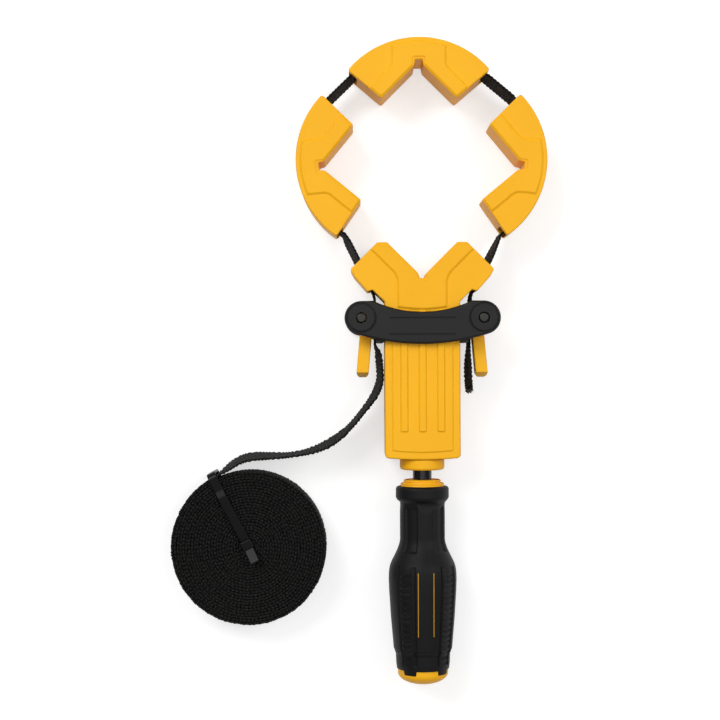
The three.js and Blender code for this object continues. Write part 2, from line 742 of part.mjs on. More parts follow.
// Handle: moulded core with ferrule and end cap, under a soft grip

const boreEnd = screwLowY - FIT_CLEAR;
const coreBore = SCREW_R + FIT_CLEAR;
const capTop = gripLowY - FIT_CLEAR;
const capDome = arc(0, 0, 1, 348, 270, 12).map(([out, down]) => [
  capTop + down * (CAP_DOME - FIT_CLEAR),
  out * CAP_R,
]);
place('handle_core', cut(turned([
  [boreEnd, 0],
  [boreEnd, coreBore],
  [ferruleTopY, coreBore],
  [ferruleTopY, FERRULE_R - FERRULE_CHAMFER],
  [ferruleTopY - FERRULE_CHAMFER, FERRULE_R],
  [ferruleTopY - FERRULE_STEP, FERRULE_R],
  [ferruleTopY - FERRULE_STEP, FERRULE_FLANGE_R],
  [gripTopY + FIT_CLEAR, FERRULE_FLANGE_R],
  [gripTopY + FIT_CLEAR, CORE_R],
  [capTop, CORE_R],
  [capTop, CAP_R],
  ...capDome,
]), pinHole(CROSS_PIN_R + FIT_CLEAR)), yellowPlastic);
const pinEnd = CORE_R - FIT_CLEAR;
place('handle_cross_pin', post(0, crossPinY, CROSS_PIN_R, axisZ - pinEnd, axisZ + pinEnd, 12), darkSteel);

// Side profile of the grip, as [distance, radius less than the belly's]. The neck and belly are measured
// down from the top of the grip, the tail up from its lower end.
const NECK_PROFILE = [
  [0, 4.8], [1.1, 3.95], [6.4, 3.95], [7.7, 4.6], [9.6, 5.8], [12.6, 6.1], [28, 6.1], [32, 5.2],
  [36.1, 3.4], [39.2, 1.8], [42.4, 0.6], [45.6, 0.15], [49, 0], [55, 0.2],
];
const TAIL_PROFILE = [[30.7, 1], [18, 2.1], [11.7, 2.6], [9.5, 3.6], [5.3, 3.8], [0, 4.6]];
const gripProfile = [
  ...NECK_PROFILE.map(([below, less]) => [below, GRIP_R - less]),
  ...TAIL_PROFILE.map(([above, less]) => [GRIP_L - above, GRIP_R - less]),
];

// Radius lost to the flutes of the neck and to the grooves beside the finger pads.
const FLUTE_DEPTH = 0.9;
const PAD_GROOVE = 0.8;
const FLUTE_SPAN = [10, 34];
const PAD_TOP = 40; // below the top of the grip
const PAD_LOW = 2.6; // above its lower end
const PAD_HALF = 10; // degrees
const GROOVE_AT = 13;
const PANEL_EDGE = 16;
const PAD_ANGLES = [-45, -30, -PANEL_EDGE, -GROOVE_AT, -PAD_HALF, PAD_HALF, GROOVE_AT, PANEL_EDGE, 30];
const GRIP_TURN = 8;

function gripLoss(below, fromPad) {
  const within = (from, to) => below > from && below < to;
  const away = Math.abs(fromPad);
  if (within(...FLUTE_SPAN) && away <= PAD_HALF) return FLUTE_DEPTH;
  if (within(PAD_TOP, GRIP_L - PAD_LOW) && away === GROOVE_AT) return PAD_GROOVE;
  return 0;
}

function gripSolid() {
  const spokes = [0, 1, 2, 3].flatMap((k) => PAD_ANGLES.map((fromPad) => ({
    fromPad,
    angle: rad(45 + 90 * k + fromPad + GRIP_TURN),
  })));
  const rings = gripProfile.map(([below, r]) => spokes.map(({ fromPad, angle }) => {
    const radius = r - gripLoss(below, fromPad);
    return [radius * Math.sin(angle), gripTopY - below, axisZ + radius * Math.cos(angle)];
  }));
  const count = spokes.length;
  const positions = rings.flat();
  const faces = [];
  for (let i = 1; i < rings.length; i += 1) {
    for (let k = 0; k < count; k += 1) {
      const next = (k + 1) % count;
      const [a, b] = [(i - 1) * count + k, (i - 1) * count + next];
      const [c, d] = [i * count + k, i * count + next];
      faces.push(a, b, d, a, d, c);
    }
  }
  const top = positions.length;
  positions.push([0, gripTopY, axisZ], [0, gripLowY, axisZ]);
  const lastRing = (rings.length - 1) * count;
  for (let k = 0; k < count; k += 1) {
    const next = (k + 1) % count;
    faces.push(top, next, k, top + 1, lastRing + k, lastRing + next);
  }
  const geometry = new THREE.BufferGeometry();
  geometry.setAttribute('position', new THREE.Float32BufferAttribute(positions.flat(), 3));
  geometry.setIndex(faces);
  return solid(geometry);
}

const gripBore = CORE_R + FIT_CLEAR;
const boreTool = turned([
  [gripLowY - 1, 0], [gripLowY - 1, gripBore], [gripTopY + 1, gripBore], [gripTopY + 1, 0],
]);
place('handle_grip', cut(gripSolid(), boreTool), gripRubber);

// Yoke: two plates joined by fences either side of the body, with clevis ends for the levers

const yokeSag = YOKE_DROP - YOKE_END_R;
const lowArcY = (pinX ** 2 - yokeSag ** 2) / (2 * yokeSag);
const lowArcR = lowArcY + YOKE_DROP;
const lowSwing = THREE.MathUtils.radToDeg(Math.atan2(pinX, lowArcY));
const shoulderX = pinX - YOKE_SHOULDER;
const topSwing = THREE.MathUtils.radToDeg(Math.asin(shoulderX / YOKE_TOP_ARC_R));
const yokeShape = outline(mirrored([
  ...arc(0, lowArcY, lowArcR, 270, 270 + lowSwing, 5),
  ...arc(pinX, 0, YOKE_END_R, 270 + lowSwing, 450, 18).slice(1),
  ...arc(0, YOKE_RISE + YOKE_TOP_ARC_R, YOKE_TOP_ARC_R, 270 + topSwing, 270, 6),
]));

const fenceMid = (FENCE_TOP_Y + FENCE_BOTTOM_Y) / 2;
const fenceLength = FENCE_TOP_Y - FENCE_BOTTOM_Y;
const nutWindow = block(0, nutY, axisZ, 2 * fenceOut + 2, NUT_H + 2 * FIT_CLEAR, NUT_T + 2 * FIT_CLEAR);
const leverHalf = LEVER_DEPTH / 2;
const yokeParts = [-1, 1].flatMap((side) => [
  slab(yokeShape, axisZ + side * (plateInner + PLATE_T / 2), PLATE_T / 2, PLATE_CHAMFER),
  block(side * (fenceIn + FENCE_T / 2), fenceMid, axisZ, FENCE_T, fenceLength, 2 * plateInner + 1),
]);
const yokeBosses = [-1, 1].flatMap((face) => [-1, 1].flatMap((side) => {
  const x = side * pinX;
  const ends = (from, to) => [axisZ + face * from, axisZ + face * to].sort((a, b) => a - b);
  return [
    post(x, 0, BOSS_R, ...ends(plateOuter - 0.5, yokeHalfT), 24),
    post(x, 0, INNER_BOSS_R, ...ends(leverHalf + FIT_CLEAR, plateInner + 0.5), 16),
  ];
}));
const pinBore = (x) => post(x, 0, PIN_R + FIT_CLEAR, -axisZ, 3 * axisZ, 16);
place('yoke', cut(join(...yokeParts, ...yokeBosses), nutWindow, pinBore(-pinX), pinBore(pinX)), blackPlastic);

['left', 'right'].forEach((name, i) => {
  const x = (2 * i - 1) * pinX;
  const reach = yokeHalfT - FIT_CLEAR;
  place(`pivot_pin_${name}`, post(x, 0, PIN_R, axisZ - reach, axisZ + reach, 16), darkSteel);
});

// Traverse nut: a threaded hub with arms that reach through the body into the yoke.
const nutReach = fenceOut - FIT_CLEAR;
const nutEnds = [nutY - NUT_H / 2, nutY + NUT_H / 2];
const nutHub = (r, [low, high] = nutEnds) => turned([[low, 0], [low, r], [high, r], [high, 0]]);
place('traverse_nut', cut(
  join(block(0, nutY, axisZ, 2 * nutReach, NUT_H, NUT_T), nutHub(NUT_HUB_R)),
  nutHub(SCREW_R + FIT_CLEAR, [nutY - NUT_H, nutY + NUT_H]),
), darkSteel);

// Cam levers: a cam that shuts on the band and a paddle for the thumb

function leverShape() {
  const tilt = rad(LEVER_TILT);
  const inward = [Math.cos(tilt), -Math.sin(tilt)];
  const down = [-Math.sin(tilt), -Math.cos(tilt)];
  const at = (across, along) => [inward[0] * across + down[0] * along, inward[1] * across + down[1] * along];
  const camSteps = 12;
  const cam = Array.from({ length: camSteps + 1 }, (_, i) => {
    const share = i / camSteps;
    const angle = rad(-LEVER_TILT + 200 * share);
    const r = CAM_R - CAM_LIFT * Math.min(1, share * 2);
    return [r * Math.cos(angle), r * Math.sin(angle)];
  });
  const outerEdge = CAM_R - LEVER_W;
  return outline([
    ...cam,
    [...at(outerEdge, CAM_R), 2],
    [...at(outerEdge, LEVER_REACH), LEVER_W * 0.45],
    [...at(CAM_R, LEVER_REACH), LEVER_W * 0.45],
  ]);
}

function leverSolid() {
  const reach = 2 * LEVER_REACH;
  const belowCam = block(0, -PADDLE_START - LEVER_REACH, axisZ, reach, reach, 2 * LEVER_DEPTH);
  const cam = cut(slab(leverShape(), axisZ, leverHalf, LEVER_CHAMFER), belowCam);
  const paddle = slab(leverShape(), axisZ, PADDLE_DEPTH / 2, LEVER_CHAMFER);
  const slants = [-1, 1].map((face) => {
    const wedge = new THREE.BoxGeometry(reach, Math.SQRT2, Math.SQRT2).rotateX(halfPi / 2);
    wedge.scale(1, TIP_SLANT_RISE, TIP_SLANT_DEPTH);
    return solid(wedge.translate(0, -LEVER_REACH, axisZ + face * PADDLE_DEPTH / 2));
  });
  return cut(join(cam, paddle), ...slants, pinBore(0));
}

const leftLever = leverSolid();
place('cam_lever_left', leftLever, yellowPlastic).position.x = -pinX;
const rightLever = solid(geometryOf(leftLever).scale(-1, 1, 1));
place('cam_lever_right', rightLever, yellowPlastic).position.x = pinX;

// Band tails below the yoke: a short cut end on the right, the long tail to the coil on the left

const tailTop = yokeBandTop - FIT_CLEAR;
const shortTail = [tailTop, FENCE_BOTTOM_Y, (FENCE_BOTTOM_Y + SHORT_TAIL_END_Y) / 2, SHORT_TAIL_END_Y];
place('band_short_tail', strip(shortTail.map((y) => ({ x: bandX, y, z: axisZ })), BAND_T, BAND_W), webbing);

// Spiral of the coil, from the lead where the tail joins to the free inner end.
function coilRoute() {
  const start = rad(COIL_START);
  const steps = COIL_TURNS * COIL_STEPS;
  const spiral = Array.from({ length: steps + 1 }, (_, i) => {
    const turn = i / COIL_STEPS;
    const angle = start + turn * 2 * Math.PI;
    const r = COIL_R - turn * COIL_PITCH;
    return { x: COIL_X + r * Math.cos(angle), y: COIL_Y + r * Math.sin(angle), z: coilZ };
  });
  const lead = {
    x: spiral[0].x + Math.sin(start) * COIL_LEAD,
    y: spiral[0].y - Math.cos(start) * COIL_LEAD,
    z: coilZ,
  };
  return [lead, ...spiral];
}

// Least gap between neighbouring turns, measured from points on one turn to the next turn's chords.
function leastGap(route) {
  let least = Infinity;
  route.forEach((p, i) => {
    const from = i + COIL_STEPS - 2;
    for (let k = from; k < Math.min(from + 4, route.length - 1); k += 1) {
      const [a, b] = [route[k], route[k + 1]];
      const [dx, dy] = [b.x - a.x, b.y - a.y];
      const share = THREE.MathUtils.clamp(((p.x - a.x) * dx + (p.y - a.y) * dy) / (dx * dx + dy * dy), 0, 1);
      least = Math.min(least, Math.hypot(p.x - a.x - share * dx, p.y - a.y - share * dy));
    }
  });
  return least - BAND_T;
}

const coil = coilRoute();
console.log(`coil: least gap between turns ${leastGap(coil).toFixed(3)} mm`);
place('band_coil', strip(coil, BAND_T, BAND_W), webbing);

// Long tail, sinking from the yoke's level to the coil's.
const lead = coil[0];
const leadStep = { x: lead.x - coil[1].x, y: lead.y - coil[1].y };
const leadLength = Math.hypot(leadStep.x, leadStep.y);
const beforeLead = (distance) => [
  lead.x + (leadStep.x / leadLength) * distance,
  lead.y + (leadStep.y / leadLength) * distance,
];
const tailCorners = [
  [-bandX, tailTop], [-bandX, 0], [-bandX, FENCE_BOTTOM_Y],
  ...TAIL_ROUTE, beforeLead(4), beforeLead(FIT_CLEAR),
];
const tailCurve = new THREE.CatmullRomCurve3(tailCorners.map(([x, y]) => new THREE.Vector3(x, y, 0)));
const TAIL_STEPS = 44;
const tailPoints = tailCurve.getSpacedPoints(TAIL_STEPS).map(({ x, y }, i) => {
  const share = THREE.MathUtils.smoothstep(i / TAIL_STEPS, 0.15, 0.75);
  return { x, y, z: THREE.MathUtils.lerp(axisZ, coilZ, share) };
});
place('band_long_tail', strip(tailPoints, BAND_T, BAND_W), webbing);

// Tie round the coil: out over the top, down the outside, back under it and up through the middle

function tieSolid() {
  const holeR = COIL_R - COIL_TURNS * COIL_PITCH - BAND_T / 2 - FIT_CLEAR;
  const innerR = Math.sqrt(holeR ** 2 - (TIE_W / 2) ** 2);
  const strapHalfAngle = Math.atan(TIE_W / 2 / COIL_R);
  const leadSwing = rad(COIL_START - TIE_ANGLE) + strapHalfAngle;
  const outerR = COIL_R / Math.cos(leadSwing) + BAND_T / 2 + FIT_CLEAR;
  const low = 0;
  const high = coilZ + BAND_W / 2 + FIT_CLEAR + TIE_T;
  const ring = (grow) => {
    const [left, right] = [innerR - grow, outerR + grow];
    const [bottom, top] = [low + TIE_T - grow, high - TIE_T + grow];
    return [[left, bottom], [right, bottom], [right, top], [left, top]].map((p) => [...p, grow + TIE_BEND_R]);
  };
  const shape = outline(ring(TIE_T));
  shape.holes.push(new THREE.Path(roundedPath(ring(0), true)));
  const strap = slab(shape, 0, TIE_W / 2);
  const headLow = high - TIE_T;
  const headX = innerR - TIE_T + TIE_HEAD[0] / 2 - TIE_HEAD_OVERHANG;
  const head = solid(new THREE.BoxGeometry(TIE_HEAD[0], TIE_HEAD[2], TIE_HEAD[1])
    .translate(headX, headLow + TIE_HEAD[2] / 2, 0));
  const tailX = headX - TIE_HEAD[0] / 2 - (TIE_TAIL_L - TIE_TAIL_ROOT) / 2;
  const tail = solid(new THREE.BoxGeometry(TIE_TAIL_L + TIE_TAIL_ROOT, TIE_T, TIE_W)
    .translate(tailX, headLow + TIE_TAIL_RISE, 0));
  return join(strap, head, tail);
}

const tieSeat = new THREE.Group();
tieSeat.position.set(COIL_X, COIL_Y, 0);
tieSeat.rotation.z = rad(TIE_ANGLE);
clamp.add(tieSeat);
place('cable_tie', tieSolid(), blackPlastic, tieSeat).rotation.x = halfPi;

// Origin: bottom centre of the tool.
clamp.position.y = -(ringTopY + handleLowY) / 2;

export default clamp;
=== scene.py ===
# %% [markdown]
# # A band clamp with V jaws
#
# This clamp pulls a woven band tight round a frame or a box. Three loose jaws ride on the band, and a fourth
# is part of the body. Turning the handle draws a black yoke down the body, which pulls the band's two ends.
#
# The solids come in as a fixed frame. This lesson dresses them: each visible piece is modelled again with
# soft edges, and gets a finish of its own. Everything is in metres in the frame's own axes. The joints give
# the tool's main lines: the line through the two lever pivots, the axis of the screw and the jaws' height.

# %% Load the frame
import json
import math

import bpy
from mathutils import Matrix, Vector, noise


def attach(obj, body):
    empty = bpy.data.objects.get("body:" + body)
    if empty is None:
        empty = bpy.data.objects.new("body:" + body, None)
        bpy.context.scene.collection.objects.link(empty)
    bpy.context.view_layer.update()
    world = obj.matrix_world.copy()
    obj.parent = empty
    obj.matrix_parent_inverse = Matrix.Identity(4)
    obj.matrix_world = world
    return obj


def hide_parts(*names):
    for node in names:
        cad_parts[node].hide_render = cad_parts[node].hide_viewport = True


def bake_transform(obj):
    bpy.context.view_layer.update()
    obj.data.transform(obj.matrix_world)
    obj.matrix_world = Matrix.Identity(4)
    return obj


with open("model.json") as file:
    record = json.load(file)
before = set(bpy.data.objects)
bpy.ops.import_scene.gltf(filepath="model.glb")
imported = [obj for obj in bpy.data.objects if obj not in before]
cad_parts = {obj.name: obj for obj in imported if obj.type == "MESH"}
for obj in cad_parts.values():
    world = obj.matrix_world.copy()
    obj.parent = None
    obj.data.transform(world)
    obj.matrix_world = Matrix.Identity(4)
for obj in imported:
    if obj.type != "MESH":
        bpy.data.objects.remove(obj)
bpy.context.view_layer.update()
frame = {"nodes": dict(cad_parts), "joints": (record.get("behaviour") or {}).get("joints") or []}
scene = bpy.context.scene
joints = {joint["name"]: joint for joint in frame["joints"]}
MM = 0.001
PIVOT_Y = joints["lever_left_pivot"]["pos_m"][1]
AXIS_Z = joints["handle_turn"]["pos_m"][2]
LOOP_Z = joints["jaw_top_slip"]["pos_m"][2]
print("pivot line at", PIVOT_Y, "axis at", AXIS_Z, "jaws at", LOOP_Z)

# %% [markdown]
# ## Camera
#
# The photograph looks straight down on the tool from a bit under a metre, so the walls near the edge of the
# picture lean outwards. A camera with no rotation already looks down with +Y up the picture; the tool lies a
# quarter of a degree askew, so the camera turns by that much. Its focal length is written in the photograph's
# pixels, because that is how it was measured.

# %% Camera
PHOTO_PIXELS = 720
FOCAL_PIXELS = 1575
SENSOR = 36
CAMERA_PLACE = (-32.7 * MM, 1.1 * MM, 853 * MM)
CAMERA_TURN = -0.25

bpy.ops.object.camera_add(location=CAMERA_PLACE, rotation=(0, 0, math.radians(CAMERA_TURN)))
camera = bpy.context.object
camera.data.sensor_width = SENSOR
camera.data.lens = FOCAL_PIXELS * SENSOR / PHOTO_PIXELS
scene.camera = camera
scene.view_settings.view_transform = "Standard"
print("lens", round(camera.data.lens, 2))

# %% [markdown]
# ## Finishes
#
# Each finish starts from one shader. Small helpers add what moulded and machined surfaces share: a fine
# grain that breaks up the gloss, and a slow drift in shade. The grain reads Object coordinates, so it is the
# same size on every piece. What is fed to a socket may be a value, or another node's output.

# %% Finish helpers
def finish(name, colour, roughness, metallic=0.0, specular=0.5):
    material = bpy.data.materials.new(name)
    material.use_nodes = True
    shader = material.node_tree.nodes["Principled BSDF"]
    shader.inputs["Base Color"].default_value = (*colour, 1)
    shader.inputs["Roughness"].default_value = roughness
    shader.inputs["Metallic"].default_value = metallic
    shader.inputs["Specular IOR Level"].default_value = specular
    return material


def add_node(material, kind, **inputs):
    node = material.node_tree.nodes.new(kind)
    for name, value in inputs.items():
        node.inputs[name.replace("_", " ")].default_value = value
    return node


def wire(material, output, socket):
    material.node_tree.links.new(output, socket)


def shader_of(material):
    return material.node_tree.nodes["Principled BSDF"]


def feed(material, socket, value):
    if isinstance(value, bpy.types.NodeSocket):
        wire(material, value, socket)
    else:
        socket.default_value = value


def math_node(material, operation, *values):
    node = material.node_tree.nodes.new("ShaderNodeMath")
    node.operation = operation
    for socket, value in zip(node.inputs, values):
        feed(material, socket, value)
    return node.outputs["Value"]


def spread(material, source, low, high, start=0.0, end=1.0):
    node = add_node(material, "ShaderNodeMapRange", From_Min=start, From_Max=end, To_Min=low, To_Max=high)
    wire(material, source, node.inputs["Value"])
    return node.outputs["Result"]


def blend_colours(material, share, first, second):
    node = material.node_tree.nodes.new("ShaderNodeMix")
    node.data_type = "RGBA"
    wire(material, share, node.inputs["Factor"])
    for letter, colour in (("A", first), ("B", second)):
        feed(material, node.inputs[letter], (*colour, 1) if isinstance(colour, tuple) else colour)
    return node.outputs["Result"]


def place_of(material, stretch=(1, 1, 1)):
    coordinates = material.node_tree.nodes.new("ShaderNodeTexCoord")
    mapping = add_node(material, "ShaderNodeMapping", Scale=stretch)
    wire(material, coordinates.outputs["Object"], mapping.inputs["Vector"])
    return mapping.outputs["Vector"]


def noise_of(material, per_metre, detail=2.0, stretch=(1, 1, 1)):
    node = add_node(material, "ShaderNodeTexNoise", Scale=per_metre, Detail=detail)
    wire(material, place_of(material, stretch), node.inputs["Vector"])
    return node.outputs["Fac"]


def raise_surface(material, height, depth, strength=1.0):
    bump = add_node(material, "ShaderNodeBump", Strength=strength, Distance=depth)
    wire(material, height, bump.inputs["Height"])
    wire(material, bump.outputs["Normal"], shader_of(material).inputs["Normal"])


# %% [markdown]
# ## Floor and light
#
# The table is a light table: a grey pane that carries the shadow and throws back half of the light, with a
# white glow of its own that only the camera and reflections see, which a light-path node picks out. The light
# is soft and comes from above: a pale world, a wide lamp overhead, a key lamp at the upper left, one at the
# right, and a weak fill from the handle's end. A lamp is written as its place, its size in metres and its
# power in watts.

# %% Floor and lamps
FLOOR_SIZE = 12
FLOOR_DROP = 0.2 * MM
FLOOR_GREY = (0.55, 0.55, 0.55)
FLOOR_GLOW = 0.6
WORLD_STRENGTH = 0.25
LAMPS = {
    "top": ((0, 0.1, 2.2), 2, 10.5),
    "key": ((-1.1, 1.2, 1.7), 1.1, 27),
    "side": ((1.4, 0.6, 1.7), 1.1, 15),
    "fill": ((0.1, -1.5, 1.5), 1.2, 2),
}

bpy.ops.mesh.primitive_plane_add(size=FLOOR_SIZE, location=(0, 0, -FLOOR_DROP))
floor = bpy.context.object
floor.name = "floor"
table_top = finish("table_top", FLOOR_GREY, 0.9, specular=0.1)
ray = table_top.node_tree.nodes.new("ShaderNodeLightPath")
seen = math_node(table_top, "ADD", ray.outputs["Is Camera Ray"], ray.outputs["Is Glossy Ray"])
seen = math_node(table_top, "ADD", seen, ray.outputs["Is Transmission Ray"])
glow = math_node(table_top, "MULTIPLY", seen, FLOOR_GLOW)
shader_of(table_top).inputs["Emission Color"].default_value = (1, 1, 1, 1)
wire(table_top, glow, shader_of(table_top).inputs["Emission Strength"])
floor.data.materials.append(table_top)

world = bpy.data.worlds.new("studio")
world.use_nodes = True
world.node_tree.nodes["Background"].inputs["Color"].default_value = (1, 1, 1, 1)
world.node_tree.nodes["Background"].inputs["Strength"].default_value = WORLD_STRENGTH
scene.world = world

for name, (place, size, power) in LAMPS.items():
    bpy.ops.object.light_add(type="AREA", location=place)
    lamp = bpy.context.object
    lamp.name = name
    lamp.data.size = size
    lamp.data.energy = power
    lamp.rotation_euler = (-Vector(place)).to_track_quat("-Z", "Y").to_euler()
    lamp.visible_camera = False
print("lamps:", list(LAMPS))

# %% [markdown]
# The yellow is a moulded plastic with a fine spark-eroded skin: satin, a little uneven in gloss, and a touch
# deeper in colour where the resin flowed last. The black of the yoke has the same skin. The grip is a soft
# rubber with a flat, dusty look.

# %% Moulded finishes
DRIFT_PER_M = 22
GRAIN_PER_M = 2600
GRAIN_GLOSS = 0.07
GRAIN_STRENGTH = 0.35


def moulded(name, colour, deeper, roughness, grain_depth, specular=0.5):
    material = finish(name, colour, roughness, specular=specular)
    drift = noise_of(material, DRIFT_PER_M, 3)
    tint = blend_colours(material, spread(material, drift, 0, 1, 0.35, 0.65), colour, deeper)
    wire(material, tint, shader_of(material).inputs["Base Color"])
    grain = noise_of(material, GRAIN_PER_M, 3)
    gloss = spread(material, grain, roughness - GRAIN_GLOSS, roughness + GRAIN_GLOSS, 0.3, 0.7)
    wire(material, gloss, shader_of(material).inputs["Roughness"])
    raise_surface(material, grain, grain_depth, GRAIN_STRENGTH)
    return material


yellow_plastic = moulded("yellow_plastic", (0.95, 0.475, 0.006), (0.93, 0.45, 0.005), 0.5, 0.05 * MM, 0.28)
black_plastic = moulded(
    "black_plastic", (0.0085, 0.0085, 0.0087), (0.0065, 0.0065, 0.0067), 0.5, 0.06 * MM, 0.3
)
grip_rubber = moulded("grip_rubber", (0.004, 0.004, 0.0041), (0.003, 0.003, 0.0031), 0.56, 0.1 * MM, 0.22)
tie_nylon = moulded("tie_nylon", (0.002, 0.002, 0.0021), (0.0016, 0.0016, 0.0017), 0.3, 0.03 * MM, 0.12)
print("moulded finishes:", [kind.name for kind in (yellow_plastic, black_plastic, grip_rubber, tie_nylon)])

# %% [markdown]
# Two thin yellow lines are printed on the front of the grip, on both sides of a plain field. A print has no
# thickness worth modelling, so it is a mask in the rubber's material: a line is where the distance from its
# middle is small across, not too large along, and the surface faces the front.

# %% Printed lines
PRINT_LINES = (-2.95, 5.2)
PRINT_HALF_W = 0.22
PRINT_SPAN = (-166.3, -132.9)
PRINT_INK = (0.5, 0.24, 0.012)


def away_from(material, value, middle):
    return math_node(material, "ABSOLUTE", math_node(material, "SUBTRACT", value, middle))


def printed_lines(material):
    parts = material.node_tree.nodes.new("ShaderNodeSeparateXYZ")
    wire(material, place_of(material), parts.inputs["Vector"])
    x, y, z = (parts.outputs[axis] for axis in "XYZ")
    low, high = PRINT_SPAN
    along = away_from(material, y, (low + high) / 2 * MM + PIVOT_Y)
    across = math_node(material, "MINIMUM", *[away_from(material, x, line * MM) for line in PRINT_LINES])
    mask = math_node(material, "LESS_THAN", along, (high - low) / 2 * MM)
    mask = math_node(material, "MULTIPLY", mask, math_node(material, "LESS_THAN", across, PRINT_HALF_W * MM))
    mask = math_node(material, "MULTIPLY", mask, math_node(material, "GREATER_THAN", z, AXIS_Z))
    colour = shader_of(material).inputs["Base Color"]
    wire(material, blend_colours(material, mask, colour.links[0].from_socket, PRINT_INK), colour)


printed_lines(grip_rubber)
print("printed lines:", len(PRINT_LINES))

# %% [markdown]
# The screw and pins are black-oxide steel, turned on a lathe. A noise that is squeezed along the axis draws
# the faint rings that the tool leaves, and they lightly vary the gloss.

# %% Turned metals
RINGS_PER_M = 60
RINGS_SQUEEZE = (1, 60, 1)
RING_GLOSS = (-0.08, 0.1)
RING_DEPTH = 0.02 * MM


def turned_metal(name, colour, roughness):
    material = finish(name, colour, roughness, metallic=1.0)
    marks = noise_of(material, RINGS_PER_M, 4, RINGS_SQUEEZE)
    gloss = spread(material, marks, *[roughness + change for change in RING_GLOSS], 0.3, 0.7)
    wire(material, gloss, shader_of(material).inputs["Roughness"])
    raise_surface(material, marks, RING_DEPTH, 0.3)
    return material


black_oxide = turned_metal("black_oxide", (0.085, 0.085, 0.09), 0.3)
bearing_bronze = turned_metal("bearing_bronze", (0.5, 0.33, 0.14), 0.36)
print("turned metals:", [kind.name for kind in (black_oxide, bearing_bronze)])

# %% [markdown]
# The band is a coarse black webbing. Its weave follows the band and not the frame, so it reads the band's own
# UV map, which counts millimetres along and across. Strong ribs run across in a slight zigzag, and finer
# lines with a steeper slant stand for the yarns. Their colour is painted light: painted shade in the troughs
# and a painted highlight on the crests, and noise adds painted glints where a yarn catches more light.

# %% Woven finish
BAND_W = 19
WEAVE_PITCH = 2.1
RIB_SLANT = 0.12
YARN_PITCH = 0.42
YARN_SLANT = 0.6
YARN_SHARE = 0.3
# Size of the painted glints where a yarn catches light.
SHEEN_FLECKS_PER_M = 900
RIB_DEPTH = 0.25 * MM
# Colours of the painted shade in the rib troughs and of the painted highlight on the rib crests.
WEBBING_TROUGH_SHADE = (0.001, 0.001, 0.001)
WEBBING_CREST_HIGHLIGHT = (0.021, 0.0206, 0.0198)


def webbing_finish(name):
    material = finish(name, (0.012, 0.012, 0.012), 0.8, specular=0.1)
    uv = material.node_tree.nodes.new("ShaderNodeUVMap")
    uv.uv_map = "weave"
    parts = material.node_tree.nodes.new("ShaderNodeSeparateXYZ")
    wire(material, uv.outputs["UV"], parts.inputs["Vector"])
    along, across = parts.outputs["X"], parts.outputs["Y"]
    zigzag = math_node(material, "PINGPONG", across, BAND_W / 4)

    def ridges(slant, pitch):
        slanted = math_node(material, "ADD", along, math_node(material, "MULTIPLY", zigzag, slant))
        return math_node(material, "SINE", math_node(material, "MULTIPLY", slanted, math.tau / pitch))

    yarns = math_node(material, "MULTIPLY", ridges(-YARN_SLANT, YARN_PITCH), YARN_SHARE)
    height = math_node(material, "ADD", ridges(RIB_SLANT, WEAVE_PITCH), yarns)
    # Painted light: the colour follows the rib height, painted shade in the troughs and a painted highlight
    # on the crests, and noise adds painted glints.
    sheen_flecks = spread(material, noise_of(material, SHEEN_FLECKS_PER_M, 1), -1, 1, 0.35, 0.65)
    shade = spread(material, math_node(material, "ADD", height, sheen_flecks), 0, 1, -1.6, 1.6)
    tint = blend_colours(material, shade, WEBBING_TROUGH_SHADE, WEBBING_CREST_HIGHLIGHT)
    wire(material, tint, shader_of(material).inputs["Base Color"])
    raise_surface(material, height, RIB_DEPTH, 0.8)
    shader_of(material).inputs["Sheen Weight"].default_value = 0.02
    shader_of(material).inputs["Sheen Roughness"].default_value = 0.5
    return material


webbing = webbing_finish("webbing")
print("webbing pitch", WEAVE_PITCH, "mm")

# %% [markdown]
# ## Drawing outlines
#
# The flat pieces are drawn in millimetres on the tool's own lines: X = 0 is its axis and Y = 0 the line
# through the two lever pivots. A corner may carry a radius, and becomes an arc.

# %% Outline helpers
def row_point(x, y, z):
    return (x * MM, y * MM + PIVOT_Y, z)


def arc_points(x, y, radius, start, end, step=1.5):
    count = max(2, math.ceil(abs(end - start) / step))
    angles = [math.radians(start + (end - start) * i / count) for i in range(count + 1)]
    return [(x + radius * math.cos(a), y + radius * math.sin(a)) for a in angles]


def bend(before, here, after, radius, step):
    back, on = (before - here), (after - here)
    reach = 0.95 * min(back.length, on.length)
    half = back.angle(on) / 2
    setback = min(radius / math.tan(half), reach)
    back.normalize()
    on.normalize()
    centre = here + (back + on).normalized() * (setback / math.cos(half))
    first, last = here + back * setback - centre, here + on * setback - centre
    turn = math.atan2(first.x * last.y - first.y * last.x, first.dot(last))
    count = max(1, math.ceil(abs(turn) / math.radians(step)))
    spokes = [Matrix.Rotation(turn * i / count, 2) @ first for i in range(count + 1)]
    return [tuple(centre + spoke) for spoke in spokes]


def rounded(corners, closed=True, step=12):
    points = []
    count = len(corners)
    for i, (x, y, *radius) in enumerate(corners):
        ends = not closed and i in (0, count - 1)
        if not radius or ends:
            points.append((x, y))
            continue
        before = Vector(corners[i - 1][:2])
        after = Vector(corners[(i + 1) % count][:2])
        points += bend(before, Vector((x, y)), after, radius[0], step)
    return points


def mirrored(right):
    left = [(-x, *rest) for x, *rest in reversed(right) if abs(x) > 1e-6]
    return [*right, *left]


def box_outline(low, high, bottom, top, radius):
    return rounded([(low, bottom, radius), (high, bottom, radius), (high, top, radius), (low, top, radius)])


print("middle of the pivot line in metres:", row_point(0, 0, AXIS_Z))

# %% [markdown]
# ## Sawing and joining
#
# A plate is a filled circle whose points are laid on an outline, extruded, and bevelled along both rims.
# Plates are then joined or cut with Boolean modifiers. A raised form gets a plain slope instead of a round
# rim: it is chamfered while it is too thick, and then flattened. Everything is deselected first, because an
# operator acts on all that is selected.

# %% Plate helpers
LEVEL = 1e-7


def activate(piece):
    bpy.ops.object.select_all(action="DESELECT")
    piece.select_set(True)
    bpy.context.view_layer.objects.active = piece
    return piece


